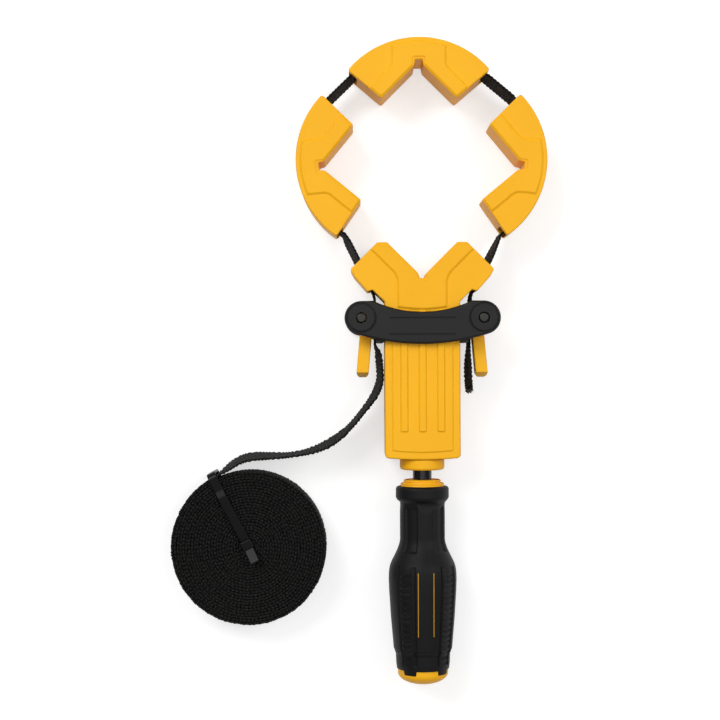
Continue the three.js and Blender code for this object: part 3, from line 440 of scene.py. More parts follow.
def pick_edges(piece, test):
    bpy.ops.object.mode_set(mode="EDIT")
    bpy.ops.mesh.select_mode(type="EDGE")
    bpy.ops.mesh.select_all(action="DESELECT")
    bpy.ops.object.mode_set(mode="OBJECT")
    points = piece.data.vertices
    for edge in piece.data.edges:
        edge.select = test(*[points[i].co for i in edge.vertices])
    bpy.ops.object.mode_set(mode="EDIT")


def closed_loop(name, points, fill_type):
    bpy.ops.object.select_all(action="DESELECT")
    bpy.ops.mesh.primitive_circle_add(vertices=len(points), fill_type=fill_type)
    piece = bpy.context.object
    piece.name = name
    for vertex, place in zip(piece.data.vertices, points):
        vertex.co = place
    bpy.ops.object.mode_set(mode="EDIT")
    bpy.ops.mesh.select_all(action="SELECT")
    return piece


def face_outwards():
    bpy.ops.mesh.select_all(action="SELECT")
    bpy.ops.mesh.normals_make_consistent(inside=False)


def plate(name, outline, low, high, rim=0.0, steps=3):
    piece = closed_loop(name, [row_point(x, y, low) for x, y in outline], "NGON")
    bpy.ops.mesh.extrude_region_move(TRANSFORM_OT_translate={"value": (0, 0, high - low)})
    face_outwards()
    if rim:
        pick_edges(piece, lambda a, b: abs(a.z - b.z) < LEVEL)
        bpy.ops.mesh.bevel(offset=rim * MM, segments=steps, profile=0.5, affect="EDGES", clamp_overlap=False)
    bpy.ops.object.mode_set(mode="OBJECT")
    return piece


def middle_plate(name, outline, middle, half, rim=0.0, steps=3):
    return plate(name, outline, middle - half * MM, middle + half * MM, rim, steps)


def sloped_plate(name, outline, middle, half, run, rise):
    squash = rise / run
    piece = middle_plate(name, outline, middle, half / squash, run, 1)
    flatten = Matrix.Diagonal((1, 1, squash, 1))
    piece.data.transform(Matrix.Translation((0, 0, middle)) @ flatten @ Matrix.Translation((0, 0, -middle)))
    return piece


# %% Joining helpers
def carve(piece, tool, operation):
    activate(piece)
    modifier = piece.modifiers.new(operation.lower(), "BOOLEAN")
    modifier.operation = operation
    modifier.solver = "EXACT"
    modifier.object = tool
    bpy.ops.object.modifier_apply(modifier=modifier.name)
    bpy.data.objects.remove(tool)
    return piece


def copy_of(piece, name):
    copy = piece.copy()
    copy.data = piece.data.copy()
    copy.name = name
    scene.collection.objects.link(copy)
    return copy


def joined(first, *others):
    for other in others:
        carve(first, other, "UNION")
    return first


def cut(first, *tools):
    for tool in tools:
        carve(first, tool, "DIFFERENCE")
    return first


def block(name, x, y, z, width, length, height):
    corner = [(x + sx * width / 2, y + sy * length / 2) for sx, sy in ((-1, -1), (1, -1), (1, 1), (-1, 1))]
    return middle_plate(name, corner, z, height / 2)


# %% [markdown]
# A finished piece is shaded smooth up to an angle, and a Weighted Normal modifier keeps its large faces flat.
# Then it gets its material, rides on its body, and takes the place of its node in the frame.

# %% Finishing helper
SMOOTH_ANGLE = math.radians(35)


def finished(piece, material, body, slot, *nodes):
    activate(piece)
    bpy.ops.object.shade_smooth_by_angle(angle=SMOOTH_ANGLE)
    modifier = piece.modifiers.new("flat_faces", "WEIGHTED_NORMAL")
    modifier.keep_sharp = True
    bpy.ops.object.modifier_apply(modifier=modifier.name)
    piece.data.materials.clear()
    piece.data.materials.append(material)
    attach(piece, body)
    if nodes:
        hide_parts(*nodes)
    print(piece.name, len(piece.data.polygons), "faces")
    return piece


# %% [markdown]
# ## Loose jaws
#
# A loose jaw is a thick shoe: an arc on the outside, a square V on the inside with a small relief notch at
# its apex, and a raised chevron on both faces. The band runs through a curved tunnel with flared mouths, so
# that the jaw can slide along it. One jaw is modelled about the centre of its arc, and copies are turned into
# place. The chevron's corners are rounder than its slope is wide, so that its rim never crosses itself.

# %% Jaw outlines
JAW_T = 29
PANEL_RISE = 0.82
PANEL_SLOPE = 1.15
JAW_ARC_R = 48.8
JAW_HALF_ANGLE = 50
V_APEX = JAW_ARC_R - 12.6
NOTCH_TOP = JAW_ARC_R - 11.9
NOTCH_HALF = 1.8
NOTCH_MOUTH_HALF = 2.5
PANEL_ARM_W = 8.7
PANEL_HALF_W = 14.6
PANEL_STRIP = 2
PANEL_ELBOW_R = 5
JAW_CORNER_R = 1.5
CORNER_ROOM = 4
EDGE_R = 1.0
PANEL_EDGE_R = 1.5
SKIN = 0.04

jaw_end = 90 - JAW_HALF_ANGLE
tip_slope = math.tan(math.radians(jaw_end))


def v_side(inset, radius):
    apex = V_APEX + inset * math.sqrt(2)
    tip_x = apex / (1 + tip_slope)
    mouth = NOTCH_MOUTH_HALF + inset
    return [
        (tip_x, tip_x * tip_slope, radius),
        (mouth, apex - mouth, radius),
        (NOTCH_HALF + inset, NOTCH_TOP + inset),
    ]


def jaw_outline():
    right = arc_points(0, 0, JAW_ARC_R, 90, jaw_end + CORNER_ROOM)
    right.append((*arc_points(0, 0, JAW_ARC_R, jaw_end, jaw_end)[0], JAW_CORNER_R))
    return rounded(mirrored([*right, *v_side(0, EDGE_R)]))


def jaw_panel_outline():
    top = JAW_ARC_R - PANEL_STRIP
    shoulder = 90 - math.degrees(math.asin(PANEL_HALF_W / top))
    arm = V_APEX + PANEL_ARM_W * math.sqrt(2)
    arm_end = arm / (1 + tip_slope)
    return rounded(mirrored([
        *arc_points(0, 0, top, 90, shoulder),
        (PANEL_HALF_W, arm - PANEL_HALF_W, PANEL_ELBOW_R),
        (arm_end - SKIN, (arm_end - SKIN) * tip_slope),
        *v_side(SKIN, PANEL_EDGE_R),
    ]))


print("jaw outline points", len(jaw_outline()))

# %% Tunnel and notch outlines
TUNNEL_HALF = 1.825
TUNNEL_FLARE = (0.95, 13)
TUNNEL_PAST = 4
TUNNEL_STEPS = 72
TUNNEL_HEIGHT = BAND_W + 0.8
BAND_R = 45.4
BORDER = 1.6
BORDER_R = 1
BORDER_DEPTH = 0.5
BORDER_REACH = 6


def smooth(value, low, high):
    share = min(1, max(0, (value - low) / (high - low)))
    return share * share * (3 - 2 * share)


def tunnel_wall(angle, side):
    flare, reach = TUNNEL_FLARE
    half = TUNNEL_HALF + flare * smooth(abs(angle - 90), JAW_HALF_ANGLE - reach, JAW_HALF_ANGLE)
    return arc_points(0, 0, BAND_R + side * half, angle, angle)[0]


def tunnel_outline():
    past = JAW_HALF_ANGLE + TUNNEL_PAST
    angles = [90 - past + 2 * past * i / TUNNEL_STEPS for i in range(TUNNEL_STEPS + 1)]
    return [*[tunnel_wall(a, 1) for a in angles], *[tunnel_wall(a, -1) for a in reversed(angles)]]


def notch_border_outline():
    half = NOTCH_HALF + BORDER
    return rounded(mirrored([(half, V_APEX - BORDER_REACH), (half, NOTCH_TOP + BORDER, BORDER_R)]))


print("tunnel outline points", len(tunnel_outline()))

# %% Model one jaw
SOFT_RIM = 0.7


def modelled_jaw():
    half = JAW_T / 2
    jaw = middle_plate("jaw", jaw_outline(), LOOP_Z, half - PANEL_RISE, SOFT_RIM)
    joined(jaw, sloped_plate("chevron", jaw_panel_outline(), LOOP_Z, half, PANEL_SLOPE, PANEL_RISE))
    cut(jaw, middle_plate("tunnel", tunnel_outline(), LOOP_Z, TUNNEL_HEIGHT / 2))
    for face in (-1, 1):
        height = LOOP_Z + face * half * MM
        cut(jaw, middle_plate("border", notch_border_outline(), height, BORDER_DEPTH))
    jaw.data.transform(Matrix.Translation((0, -PIVOT_Y, 0)))
    return jaw


jaw_pattern = modelled_jaw()
print("jaw pattern faces", len(jaw_pattern.data.polygons))

# %% Seat the three jaws
SIDE_TILT = 5.6

for name, turn in (("jaw_top", 0), ("jaw_left", 90 + SIDE_TILT), ("jaw_right", -90 - SIDE_TILT)):
    jaw = copy_of(jaw_pattern, f"{name}_shoe")
    x, y, _ = joints[f"{name}_slip"]["pos_m"]
    jaw.data.transform(Matrix.Translation((x, y, 0)) @ Matrix.Rotation(math.radians(turn), 4, "Z"))
    finished(jaw, yellow_plastic, name, "yellow_plastic", name)
bpy.data.objects.remove(jaw_pattern)

# %% [markdown]
# ## Route of the band
#
# The band stands on edge. On each side it comes up through the yoke, bends outwards through the fixed jaw,
# and meets the lower end of a side jaw; then it follows the arcs of the three jaws. The fixed jaw needs the
# same route for its channels, so it is drawn first, as a path in millimetres from the yoke to the top of the
# ring. On the right the band hangs a little slack between the yoke and the side jaw.

# %% Side run and ring
BAND_X = 24.775
YOKE_LOW_Y = -13.1
BAND_BEND = (11.5, 12)
JAW_LEAD = 0.8
JAW_LEAD_BEND = 2.5
PAST_JAW = 2
IN_TOP_JAW = 2
RING_STEP = 0.45
RIGHT_SLACK = (0.7, 0.4)
LINK_SLACK_Y = (0, 8)
RUN_SLACK_Y = (15, 28)
SLACK_FADE = (-3, 7)


def seat_of(joint):
    x, y, _ = joints[joint]["pos_m"]
    return x / MM, (y - PIVOT_Y) / MM


SIDE_JAW = seat_of("jaw_right_slip")
TOP_JAW = seat_of("jaw_top_slip")
ring_start = SIDE_TILT + JAW_HALF_ANGLE + PAST_JAW
ring_meet = 90 - JAW_HALF_ANGLE + IN_TOP_JAW


def right_side_run():
    leave = arc_points(*SIDE_JAW, BAND_R, -ring_start, -ring_start)[0]
    tangent = math.radians(90 - ring_start)
    lead = (leave[0] - JAW_LEAD * math.cos(tangent), leave[1] - JAW_LEAD * math.sin(tangent))
    corners = [(BAND_X, YOKE_LOW_Y), (BAND_X, *BAND_BEND), (*lead, JAW_LEAD_BEND), leave]
    return rounded(corners, closed=False, step=3)


side_run = right_side_run()
right_side = [*side_run, *arc_points(*SIDE_JAW, BAND_R, -ring_start, ring_meet, RING_STEP)[1:]]
over_top = arc_points(*TOP_JAW, BAND_R, ring_meet, 180 - ring_meet, RING_STEP)
left_side = [(-x, y) for x, y in reversed(right_side)]
ring_path = [*right_side, *over_top, *left_side]


def slack_at(x, y):
    if x < 0:
        return 0
    link, run = RIGHT_SLACK
    out = link * smooth(y, *LINK_SLACK_Y) + run * smooth(y, *RUN_SLACK_Y)
    return out * (1 - smooth(y - side_run[-1][1], *SLACK_FADE))


print("ring path of", len(ring_path), "points, leaves the side jaw at", side_run[-1])

# %% [markdown]
# ## Housing
#
# The fixed jaw and the body are one moulding, split down the middle into two halves that screws hold
# together. The body has a raised inner panel with three rails, and slots in its sides for the arms of the
# nut. The raised forms are plates of their own thickness, joined; then the hollows are cut and the moulding
# is halved.

# %% Fixed jaw outlines
FIXED_V_APEX_Y = 21.2
FIXED_V_HALF_SPAN = 18.3
FIXED_TIP_FLAT = 5.2
FIXED_END_FACE = 20
FIXED_NOTCH = (1.3, 2.2, 2.6)
FIXED_PANEL_ARM_W = 9
FIXED_PANEL_HALF_W = 13.2
FIXED_ELBOW_R = 9
FIXED_FOOT_Y = 4
FIXED_FOOT_ARC_R = 68
HOOK_Y = 13.8
HOOK_OUT = 2.73
HOOK_LIP = 0.8
ARM_UNDERCUT = (2.2, 3.9, 2)
ARM_CORNER_R = 1.6
BODY_W = 39.6

fixed_tip_y = FIXED_V_APEX_Y + FIXED_V_HALF_SPAN
tip_out = FIXED_V_HALF_SPAN + FIXED_TIP_FLAT
end_drop = FIXED_END_FACE * math.sqrt(0.5)
arm_corner = (tip_out + end_drop, fixed_tip_y - end_drop)


def run_x_at(height):
    after = next(i for i, (_, y) in enumerate(side_run) if y > height)
    (x0, y0), (x1, y1) = side_run[after - 1], side_run[after]
    return x0 + (x1 - x0) * (height - y0) / (y1 - y0)


hook_band_x = run_x_at(HOOK_Y)


def fixed_v(inset, radius):
    notch_half, mouth_half, depth = FIXED_NOTCH
    notch_y = FIXED_V_APEX_Y + mouth_half
    return [
        (tip_out - inset / 2, fixed_tip_y - inset, radius),
        (FIXED_V_HALF_SPAN + inset / 2, fixed_tip_y - inset, radius),
        (mouth_half + inset, notch_y, radius),
        (notch_half + inset, notch_y - depth - inset),
    ]


def fixed_jaw_outline():
    half = BODY_W / 2 - SKIN
    flank = hook_band_x - half
    inward, down, radius = ARM_UNDERCUT
    return rounded(mirrored([
        (half, FIXED_FOOT_Y - 1),
        (half, HOOK_Y + HOOK_LIP - flank),
        (hook_band_x, HOOK_Y + HOOK_LIP),
        (hook_band_x + HOOK_OUT, HOOK_Y, EDGE_R),
        (arm_corner[0] - inward, arm_corner[1] - down, radius),
        (*arm_corner, ARM_CORNER_R),
        *fixed_v(0, EDGE_R),
    ]))


def fixed_panel_outline():
    swing = math.degrees(math.asin(FIXED_PANEL_HALF_W / FIXED_FOOT_ARC_R))
    foot = arc_points(0, FIXED_FOOT_Y + FIXED_FOOT_ARC_R, FIXED_FOOT_ARC_R, 270, 270 + swing)
    arm = FIXED_V_APEX_Y - FIXED_PANEL_ARM_W * math.sqrt(2)
    meet = (fixed_tip_y + tip_out - arm) / 2 - SKIN
    elbow = (FIXED_PANEL_HALF_W, FIXED_PANEL_HALF_W + arm, FIXED_ELBOW_R)
    return rounded(mirrored([*foot, elbow, (meet, meet + arm), *fixed_v(SKIN, PANEL_EDGE_R)]))


print("hook beside the band at x", round(hook_band_x, 2))

# %% Body outlines
BODY_END_Y = -73.3
BODY_BULGE = 1
BODY_TOP_Y = 8
BODY_CORNER_R = 2.4
BODY_PANEL_BORDER = 3.6
BODY_HALF_T = 13.9
CHEVRON_HALF_T = 14.5
RAIL_RISE = 0.8
RAIL_SLOPE = 0.8
BODY_PANEL_RISE = 0.6
BODY_BASE_HALF = BODY_HALF_T - RAIL_RISE - BODY_PANEL_RISE
RAIL_W = 4.5
RAIL_PITCH = 9.6
RAIL_SPAN = (-59.9, 5)
RAIL_CORNER_R = 1.2
ARC_SHORT = 0.6


def body_outline(inset, corner):
    half = BODY_W / 2 - inset
    end = BODY_END_Y + inset
    radius = (half * half + BODY_BULGE**2) / (2 * BODY_BULGE)
    swing = math.degrees(math.asin(half / radius))
    bottom = arc_points(0, end - BODY_BULGE + radius, radius, 270, 270 + swing - ARC_SHORT, 0.5)
    return rounded(mirrored([*bottom, (half, end, corner), (half, BODY_TOP_Y)]))


def rail(place):
    low, high = RAIL_SPAN
    half = RAIL_W / 2
    x = place * RAIL_PITCH
    corners = mirrored([(half, low, RAIL_CORNER_R), (half, high)])
    outline = [(x + across, y) for across, y in rounded(corners)]
    return sloped_plate("rail", outline, AXIS_Z, BODY_HALF_T - SKIN, RAIL_SLOPE, RAIL_RISE)


print("body outline points", len(body_outline(0, BODY_CORNER_R)))

# %% [markdown]
# Round pieces are turned as on a lathe: a circle's points are laid along a profile, written as distance along
# the axis and radius, and Spin carries it round the tool's axis. Doubles are merged afterwards, because the
# last step of a full turn lies on the first.

# %% Lathe helper
TURN_STEPS = 96
SAME_PLACE = 0.002 * MM
TOO_SHORT = 0.001 * MM


def turned(name, profile, steps=TURN_STEPS):
    piece = closed_loop(name, [row_point(radius, y, AXIS_Z) for y, radius in profile], "NOTHING")
    bpy.ops.mesh.spin(steps=steps, angle=math.tau, center=(0, 0, AXIS_Z), axis=(0, 1, 0))
    bpy.ops.mesh.select_all(action="SELECT")
    bpy.ops.mesh.remove_doubles(threshold=SAME_PLACE)
    bpy.ops.mesh.dissolve_degenerate(threshold=TOO_SHORT)
    bpy.ops.mesh.delete_loose(use_verts=True, use_edges=True, use_faces=False)
    face_outwards()
    bpy.ops.object.mode_set(mode="OBJECT")
    return piece


def disc(name, x, y, radius, low, high, rim=0.0, steps=3):
    return plate(name, arc_points(x, y, radius, 0, 360, 7.5)[:-1], low, high, rim, steps)


# %% Model the housing
NUT_Y = -3.35
CAVITY = (16.4, -60, 3.65, 10)
SIDE_SLOT = (-55.35, 3.65, 10.6)
BORE = [(-80, 0), (-80, 8.7), (-66, 8.7), (-66, 5.6), (6.65, 5.6), (6.65, 7.8), (13.45, 7.8), (13.45, 0)]
CHANNEL_HALF = 1.6
HOUSING_RIM = 1.0
CLEARANCE = 0.3
FASTENERS = [(-17.4, 20.5), (17.4, 20.5), (-14.6, -67), (14.6, -67)]
FASTENER_HEAD_R = 2.9
FASTENER_SEAT = 10.4


def ribbon_outline(path, half):
    left, right = [], []
    for i, here in enumerate(path):
        ahead = Vector(path[min(i + 1, len(path) - 1)]) - Vector(path[max(i - 1, 0)])
        side = Vector((-ahead.y, ahead.x)).normalized() * half
        left.append(tuple(Vector(here) + side))
        right.append(tuple(Vector(here) - side))
    return [*left, *reversed(right)]


def channel(side):
    path = [(side * x + slack_at(side * x, y), y) for x, y in side_run]
    return middle_plate("channel", ribbon_outline(path, CHANNEL_HALF), AXIS_Z, TUNNEL_HEIGHT / 2)


def modelled_housing():
    housing = middle_plate("housing", body_outline(0, BODY_CORNER_R), AXIS_Z, BODY_BASE_HALF, HOUSING_RIM)
    flat = BODY_HALF_T - RAIL_RISE
    field = body_outline(BODY_PANEL_BORDER, RAIL_CORNER_R)
    joined(housing, sloped_plate("panel", field, AXIS_Z, flat, RAIL_SLOPE, BODY_PANEL_RISE))
    joined(housing, *[rail(place) for place in (-1, 0, 1)])
    base = CHEVRON_HALF_T - PANEL_RISE
    joined(housing, middle_plate("fixed_jaw", fixed_jaw_outline(), AXIS_Z, base, SOFT_RIM))
    chevron = fixed_panel_outline()
    joined(housing, sloped_plate("chevron", chevron, AXIS_Z, CHEVRON_HALF_T, PANEL_SLOPE, PANEL_RISE))
    half, low, high, depth = CAVITY
    cut(housing, block("cavity", 0, (low + high) / 2, AXIS_Z, 2 * half, high - low, 2 * depth))
    low, high, width = SIDE_SLOT
    cut(housing, block("slot", 0, (low + high) / 2, AXIS_Z, BODY_W + 2, high - low, width))
    cut(housing, turned("bore", BORE, 48), channel(-1), channel(1))
    seat = AXIS_Z - FASTENER_SEAT * MM
    for x, y in FASTENERS:
        cut(housing, disc("screw_seat", x, y, FASTENER_HEAD_R + CLEARANCE, 0, seat))
    return housing


housing = modelled_housing()
print("housing faces", len(housing.data.polygons))

# %% Halve the housing
SEAM = 0.2
FAR = 400

for name, side in (("housing_front", 1), ("housing_back", -1)):
    half = copy_of(housing, f"{name}_moulding")
    keep = block("keep", 0, 0, AXIS_Z + side * (FAR + SEAM) / 2 * MM, FAR, FAR, FAR)
    carve(half, keep, "INTERSECT")
    finished(half, yellow_plastic, "body", "yellow_plastic", name)
bpy.data.objects.remove(housing)

# %% [markdown]
# ## Housing screws
#
# Four pan-head screws come in from the back. A head is a disc with a round rim and a cross recess, which is
# two crossed slots cut with Booleans.

# %% Screw heads
HEAD_REACH = 2.2
FASTENER_SHANK = (1.5, 18, 0.3)
RECESS = (0.8, 3.6)

seat = AXIS_Z - FASTENER_SEAT * MM
crown = seat - HEAD_REACH * MM
shank_r, shank_l, shank_rim = FASTENER_SHANK
for i, (x, y) in enumerate(FASTENERS):
    head = disc(f"housing_screw_{i + 1}_head", x, y, FASTENER_HEAD_R, crown, seat - CLEARANCE * MM, SOFT_RIM)
    joined(head, disc("shank", x, y, shank_r, seat - MM, seat + shank_l * MM, shank_rim))
    for sides in (RECESS, RECESS[::-1]):
        cut(head, block("recess", x, y, crown, *sides, HEAD_REACH))
    finished(head, black_oxide, "body", "dark_steel", f"housing_screw_{i + 1}")

# %% [markdown]
# ## Yoke
#
# The yoke is two black plates, one on each face of the body, with a fence down each side between them. Its
# ends are round eyes for the lever pivots: a raised boss with a groove round it. Two straight grooves bound a
# plain field in the middle of a plate.

# %% Yoke outline
PIN_X = 31.9
PLATE_INNER = 14.3
PLATE_T = 3.1
YOKE_END_R = 8.8
YOKE_DROP = 13.7
YOKE_RISE = 3.1
YOKE_TOP_ARC_R = 60
YOKE_SHOULDER = 6.2

sag = YOKE_DROP - YOKE_END_R
low_arc_y = (PIN_X**2 - sag**2) / (2 * sag)
low_arc_r = low_arc_y + YOKE_DROP
low_swing = math.degrees(math.atan2(PIN_X, low_arc_y))
top_swing = math.degrees(math.asin((PIN_X - YOKE_SHOULDER) / YOKE_TOP_ARC_R))


def yoke_outline():
    return mirrored([
        *arc_points(0, low_arc_y, low_arc_r, 270, 270 + low_swing),
        *arc_points(PIN_X, 0, YOKE_END_R, 270 + low_swing, 450, 6)[1:],
        *arc_points(0, YOKE_RISE + YOKE_TOP_ARC_R, YOKE_TOP_ARC_R, 270 + top_swing, 270),
    ])


print("yoke outline points", len(yoke_outline()))

# %% Model the yoke
PLATE_RIM = 1.4
FENCE = (20.2, 23.95, -13.1, 6.4)
FENCE_CORNER_R = 0.8
FENCE_BITE = 0.4
BOSS_R = 7
BOSS_RISE = 0.6
BOSS_RIM = 0.35
BOSS_GROOVE = (1.0, 1.0)
SPACER_R = 5.4
SPACER_BITE = 0.5
PIN_HOLE_R = 2.95
LEVER_HALF_T = 12
FIELD_LINES = (-8.7, -0.1)
FIELD_LINE = (33.8, 1.0, 1.7)
NUT_WINDOW = (12.6, 10.6)


def yoke_plate(face):
    inner = AXIS_Z + face * PLATE_INNER * MM
    outer = inner + face * PLATE_T * MM
    top = outer + face * BOSS_RISE * MM
    piece = plate("plate", yoke_outline(), *sorted((inner, outer)), PLATE_RIM)
    groove_w, groove_depth = BOSS_GROOVE
    for side in (-1, 1):
        x = side * PIN_X
        ends = sorted((outer - face * groove_depth * MM, top + face * MM))
        ring = cut(disc("groove", x, 0, BOSS_R + groove_w, *ends), disc("island", x, 0, BOSS_R, 0, 1))
        cut(piece, ring)
        joined(piece, disc("boss", x, 0, BOSS_R - SKIN, *sorted((inner + face * MM, top)), BOSS_RIM))
        inside = sorted((AXIS_Z + face * (LEVER_HALF_T + CLEARANCE) * MM, inner + face * SPACER_BITE * MM))
        joined(piece, disc("spacer", x, 0, SPACER_R, *inside))
    for y in FIELD_LINES:
        cut(piece, block("field_line", 0, y, outer, *FIELD_LINE))
    return piece


def fence(side):
    near, far, low, high = FENCE
    outline = box_outline(*sorted((side * near, side * far)), low, high, FENCE_CORNER_R)
    return middle_plate("fence", outline, AXIS_Z, PLATE_INNER + FENCE_BITE)


yoke = joined(yoke_plate(1), yoke_plate(-1), fence(-1), fence(1))
cut(yoke, block("nut_window", 0, NUT_Y, AXIS_Z, 2 * FENCE[1] + 2, *NUT_WINDOW))
for side in (-1, 1):
    cut(yoke, disc("pin_hole", side * PIN_X, 0, PIN_HOLE_R, -AXIS_Z, 3 * AXIS_Z))
yoke.name = "yoke_moulding"
finished(yoke, black_plastic, "yoke", "black_plastic", "yoke")

# %% [markdown]
# The pivot pins are short steel rods with domed ends, a little duller and lighter than the screw, because
# their ends were peened over.

# %% Pivot pins
PIN_R = 2.6
PIN_REACH = 17.8 * MM
PIN_ENDS = (AXIS_Z - PIN_REACH, AXIS_Z + PIN_REACH)
PIN_DOME = (0.9, 4)
peened_steel = turned_metal("peened_steel", (0.055, 0.054, 0.05), 0.5)

for name, side in (("left", -1), ("right", 1)):
    pin = disc(f"pivot_pin_{name}_rod", side * PIN_X, 0, PIN_R, *PIN_ENDS, *PIN_DOME)
    finished(pin, peened_steel, "yoke", "dark_steel", f"pivot_pin_{name}")

# %% [markdown]
# ## Cam levers
#
# Round its pivot a lever is a deep cam, which is lower on one side; turning the lever presses the cam on the
# band. Below the cam it thins to a paddle for the thumb, with a slanted tip. The outline is drawn for the
# left lever and mirrored for the right one, then cut from a deep plate for the cam and a thin one for the
# paddle.

# %% Lever outline
CAM_R = 6.3
CAM_LIFT = 1.2
CAM_SWEEP = 200
CAM_STEPS = 32
LEVER_W = 6.5
LEVER_BACK_R = 2
LEVER_TIP_R = 2.9
LEVER_REACH = 31.3
LEVER_TILT = 5
PADDLE_HALF_T = 6
PADDLE_START = 8.5
TIP_SLANT = (2.9, 6.5)
LEVER_BORE_R = 2.65


def lever_outline(side, inset=0.0):
    tilt = math.radians(LEVER_TILT)
    inward = Vector((math.cos(tilt), -math.sin(tilt)))
    down = Vector((-math.sin(tilt), -math.cos(tilt)))
    points = []
    for i in range(CAM_STEPS + 1):
        angle = math.radians(CAM_SWEEP * i / CAM_STEPS - LEVER_TILT)
        radius = CAM_R - inset - CAM_LIFT * min(1, 2 * i / CAM_STEPS)
        points.append((radius * math.cos(angle), radius * math.sin(angle)))
    outer = CAM_R - LEVER_W + inset
    end = LEVER_REACH - inset
    corners = [(outer, CAM_R, LEVER_BACK_R), (outer, end, LEVER_TIP_R), (CAM_R - inset, end, LEVER_TIP_R)]
    for across, along, radius in corners:
        points.append((*(inward * across + down * along), radius))
    return [(side * (PIN_X - x), y) for x, y in rounded(points, step=9)]


print("lever outline points", len(lever_outline(1)))

# %% Model the levers
WEDGE_W = 30


def tip_wedge(side, face):
    rise, depth = TIP_SLANT
    height = AXIS_Z + face * PADDLE_HALF_T * MM
    wedge = block("wedge", side * PIN_X, -LEVER_REACH, height, WEDGE_W, math.sqrt(2), math.sqrt(2))
    pivot = Vector(row_point(side * PIN_X, -LEVER_REACH, height))
    shape = Matrix.Diagonal((1, rise, depth, 1)) @ Matrix.Rotation(math.radians(45), 4, "X")
    wedge.data.transform(Matrix.Translation(pivot) @ shape @ Matrix.Translation(-pivot))
    return wedge


def modelled_lever(name, side):
    lever = middle_plate(name, lever_outline(side), AXIS_Z, LEVER_HALF_T, SOFT_RIM)
    reach = 2 * LEVER_REACH
    cut(lever, block("below_cam", side * PIN_X, -PADDLE_START - LEVER_REACH, AXIS_Z, reach, reach, reach))
    joined(lever, middle_plate("paddle", lever_outline(side, SKIN), AXIS_Z, PADDLE_HALF_T, SOFT_RIM))
    cut(lever, tip_wedge(side, 1), tip_wedge(side, -1))
    return cut(lever, disc("pin_hole", side * PIN_X, 0, LEVER_BORE_R, -AXIS_Z, 3 * AXIS_Z))


for name, side in (("left", -1), ("right", 1)):
    lever = modelled_lever(f"cam_lever_{name}_paddle", side)
    finished(lever, yellow_plastic, f"lever_{name}", "yellow_plastic", f"cam_lever_{name}")

# %% [markdown]
# ## Screw and its collar
#
# The handle turns a steel lead screw that cannot move along. Its plain, polished shank shows between the
# collar of the body and the ferrule of the handle, and its thread through the side slots. The shank is
# turned, and the thread is one tooth carried up a helix by the Screw modifier.

# %% Lead screw
SCREW_R = 5
THREAD_ROOT = 4.2
THREAD_LEAD = 3
THREAD_SPAN = (-57, 1.5)
THREAD_STEPS = 32
TOOTH_FOOT = (0.05, 2.65)
TOOTH_CREST = (1.1, 1.6)
TOOTH_SINK = 0.3
RUN_OUT = (1, 1.8)
SCREW_LOW_Y = -127.3
CLIP_GROOVE_Y = (-58.2, -56.9)
CLIP_GROOVE_DEPTH = 0.9
SHOULDER_Y = 6.35
SCREW_TIP = (11.65, 3.4)
END_CHAMFER = 0.8


def thread():
    low, high = THREAD_SPAN
    foot, crest = THREAD_ROOT - TOOTH_SINK, SCREW_R
    radii = (foot, crest, crest, foot)
    tooth = zip(radii, (TOOTH_FOOT[0], *TOOTH_CREST, TOOTH_FOOT[1]))
    ridge = closed_loop("lead_screw_thread", [row_point(r, low + along, 0) for r, along in tooth], "NOTHING")
    bpy.ops.object.mode_set(mode="OBJECT")
    sweep = ridge.modifiers.new("sweep", "SCREW")
    sweep.axis = "Y"
    sweep.screw_offset = THREAD_LEAD * MM
    sweep.iterations = int((high - low) / THREAD_LEAD)
    sweep.steps = THREAD_STEPS
    sweep.render_steps = THREAD_STEPS
    bpy.ops.object.modifier_apply(modifier=sweep.name)
    bpy.ops.object.mode_set(mode="EDIT")
    bpy.ops.mesh.select_all(action="DESELECT")
    bpy.ops.mesh.select_non_manifold()
    bpy.ops.mesh.edge_face_add()
    bpy.ops.mesh.select_all(action="SELECT")
    bpy.ops.mesh.remove_doubles(threshold=SAME_PLACE)
    face_outwards()
    bpy.ops.object.mode_set(mode="OBJECT")
    ridge.data.transform(Matrix.Translation((0, 0, AXIS_Z)))
    return ridge


def shank():
    groove_low, groove_high = CLIP_GROOVE_Y
    groove_r = SCREW_R - CLIP_GROOVE_DEPTH
    root_end, run_end = (THREAD_SPAN[1] + past for past in RUN_OUT)
    tip_y, tip_r = SCREW_TIP
    return turned("lead_screw_shank", [
        (SCREW_LOW_Y, 0), (SCREW_LOW_Y, SCREW_R - END_CHAMFER), (SCREW_LOW_Y + END_CHAMFER, SCREW_R),
        (groove_low, SCREW_R), (groove_low, groove_r), (groove_high, groove_r),
        (groove_high, THREAD_ROOT), (root_end, THREAD_ROOT), (run_end, SCREW_R), (SHOULDER_Y, SCREW_R),
        (SHOULDER_Y, tip_r), (tip_y - END_CHAMFER, tip_r), (tip_y, tip_r - END_CHAMFER), (tip_y, 0),
    ])


polished_steel = turned_metal("polished_steel", (0.04, 0.04, 0.042), 0.2)
finished(shank(), polished_steel, "handle", "dark_steel", "lead_screw")
finished(thread(), black_oxide, "handle", "dark_steel")

# %% [markdown]
# The collar is a yellow bush with a chamfered rim, set into the end of the body.

# %% End collar
COLLAR_R = 11.8
COLLAR_Y = (-80, -74.6)
COLLAR_BORE = 5.3
COLLAR_ROUND = 1.4
SPIGOT = (8.4, -66.3)


def rounded_corner(y, radius, inward, size, steps=4):
    turns = [math.pi / 2 * (1 - i / steps) for i in range(steps + 1)]
    return [(y + inward * size * (1 - math.sin(a)), radius - size * (1 - math.cos(a))) for a in turns]


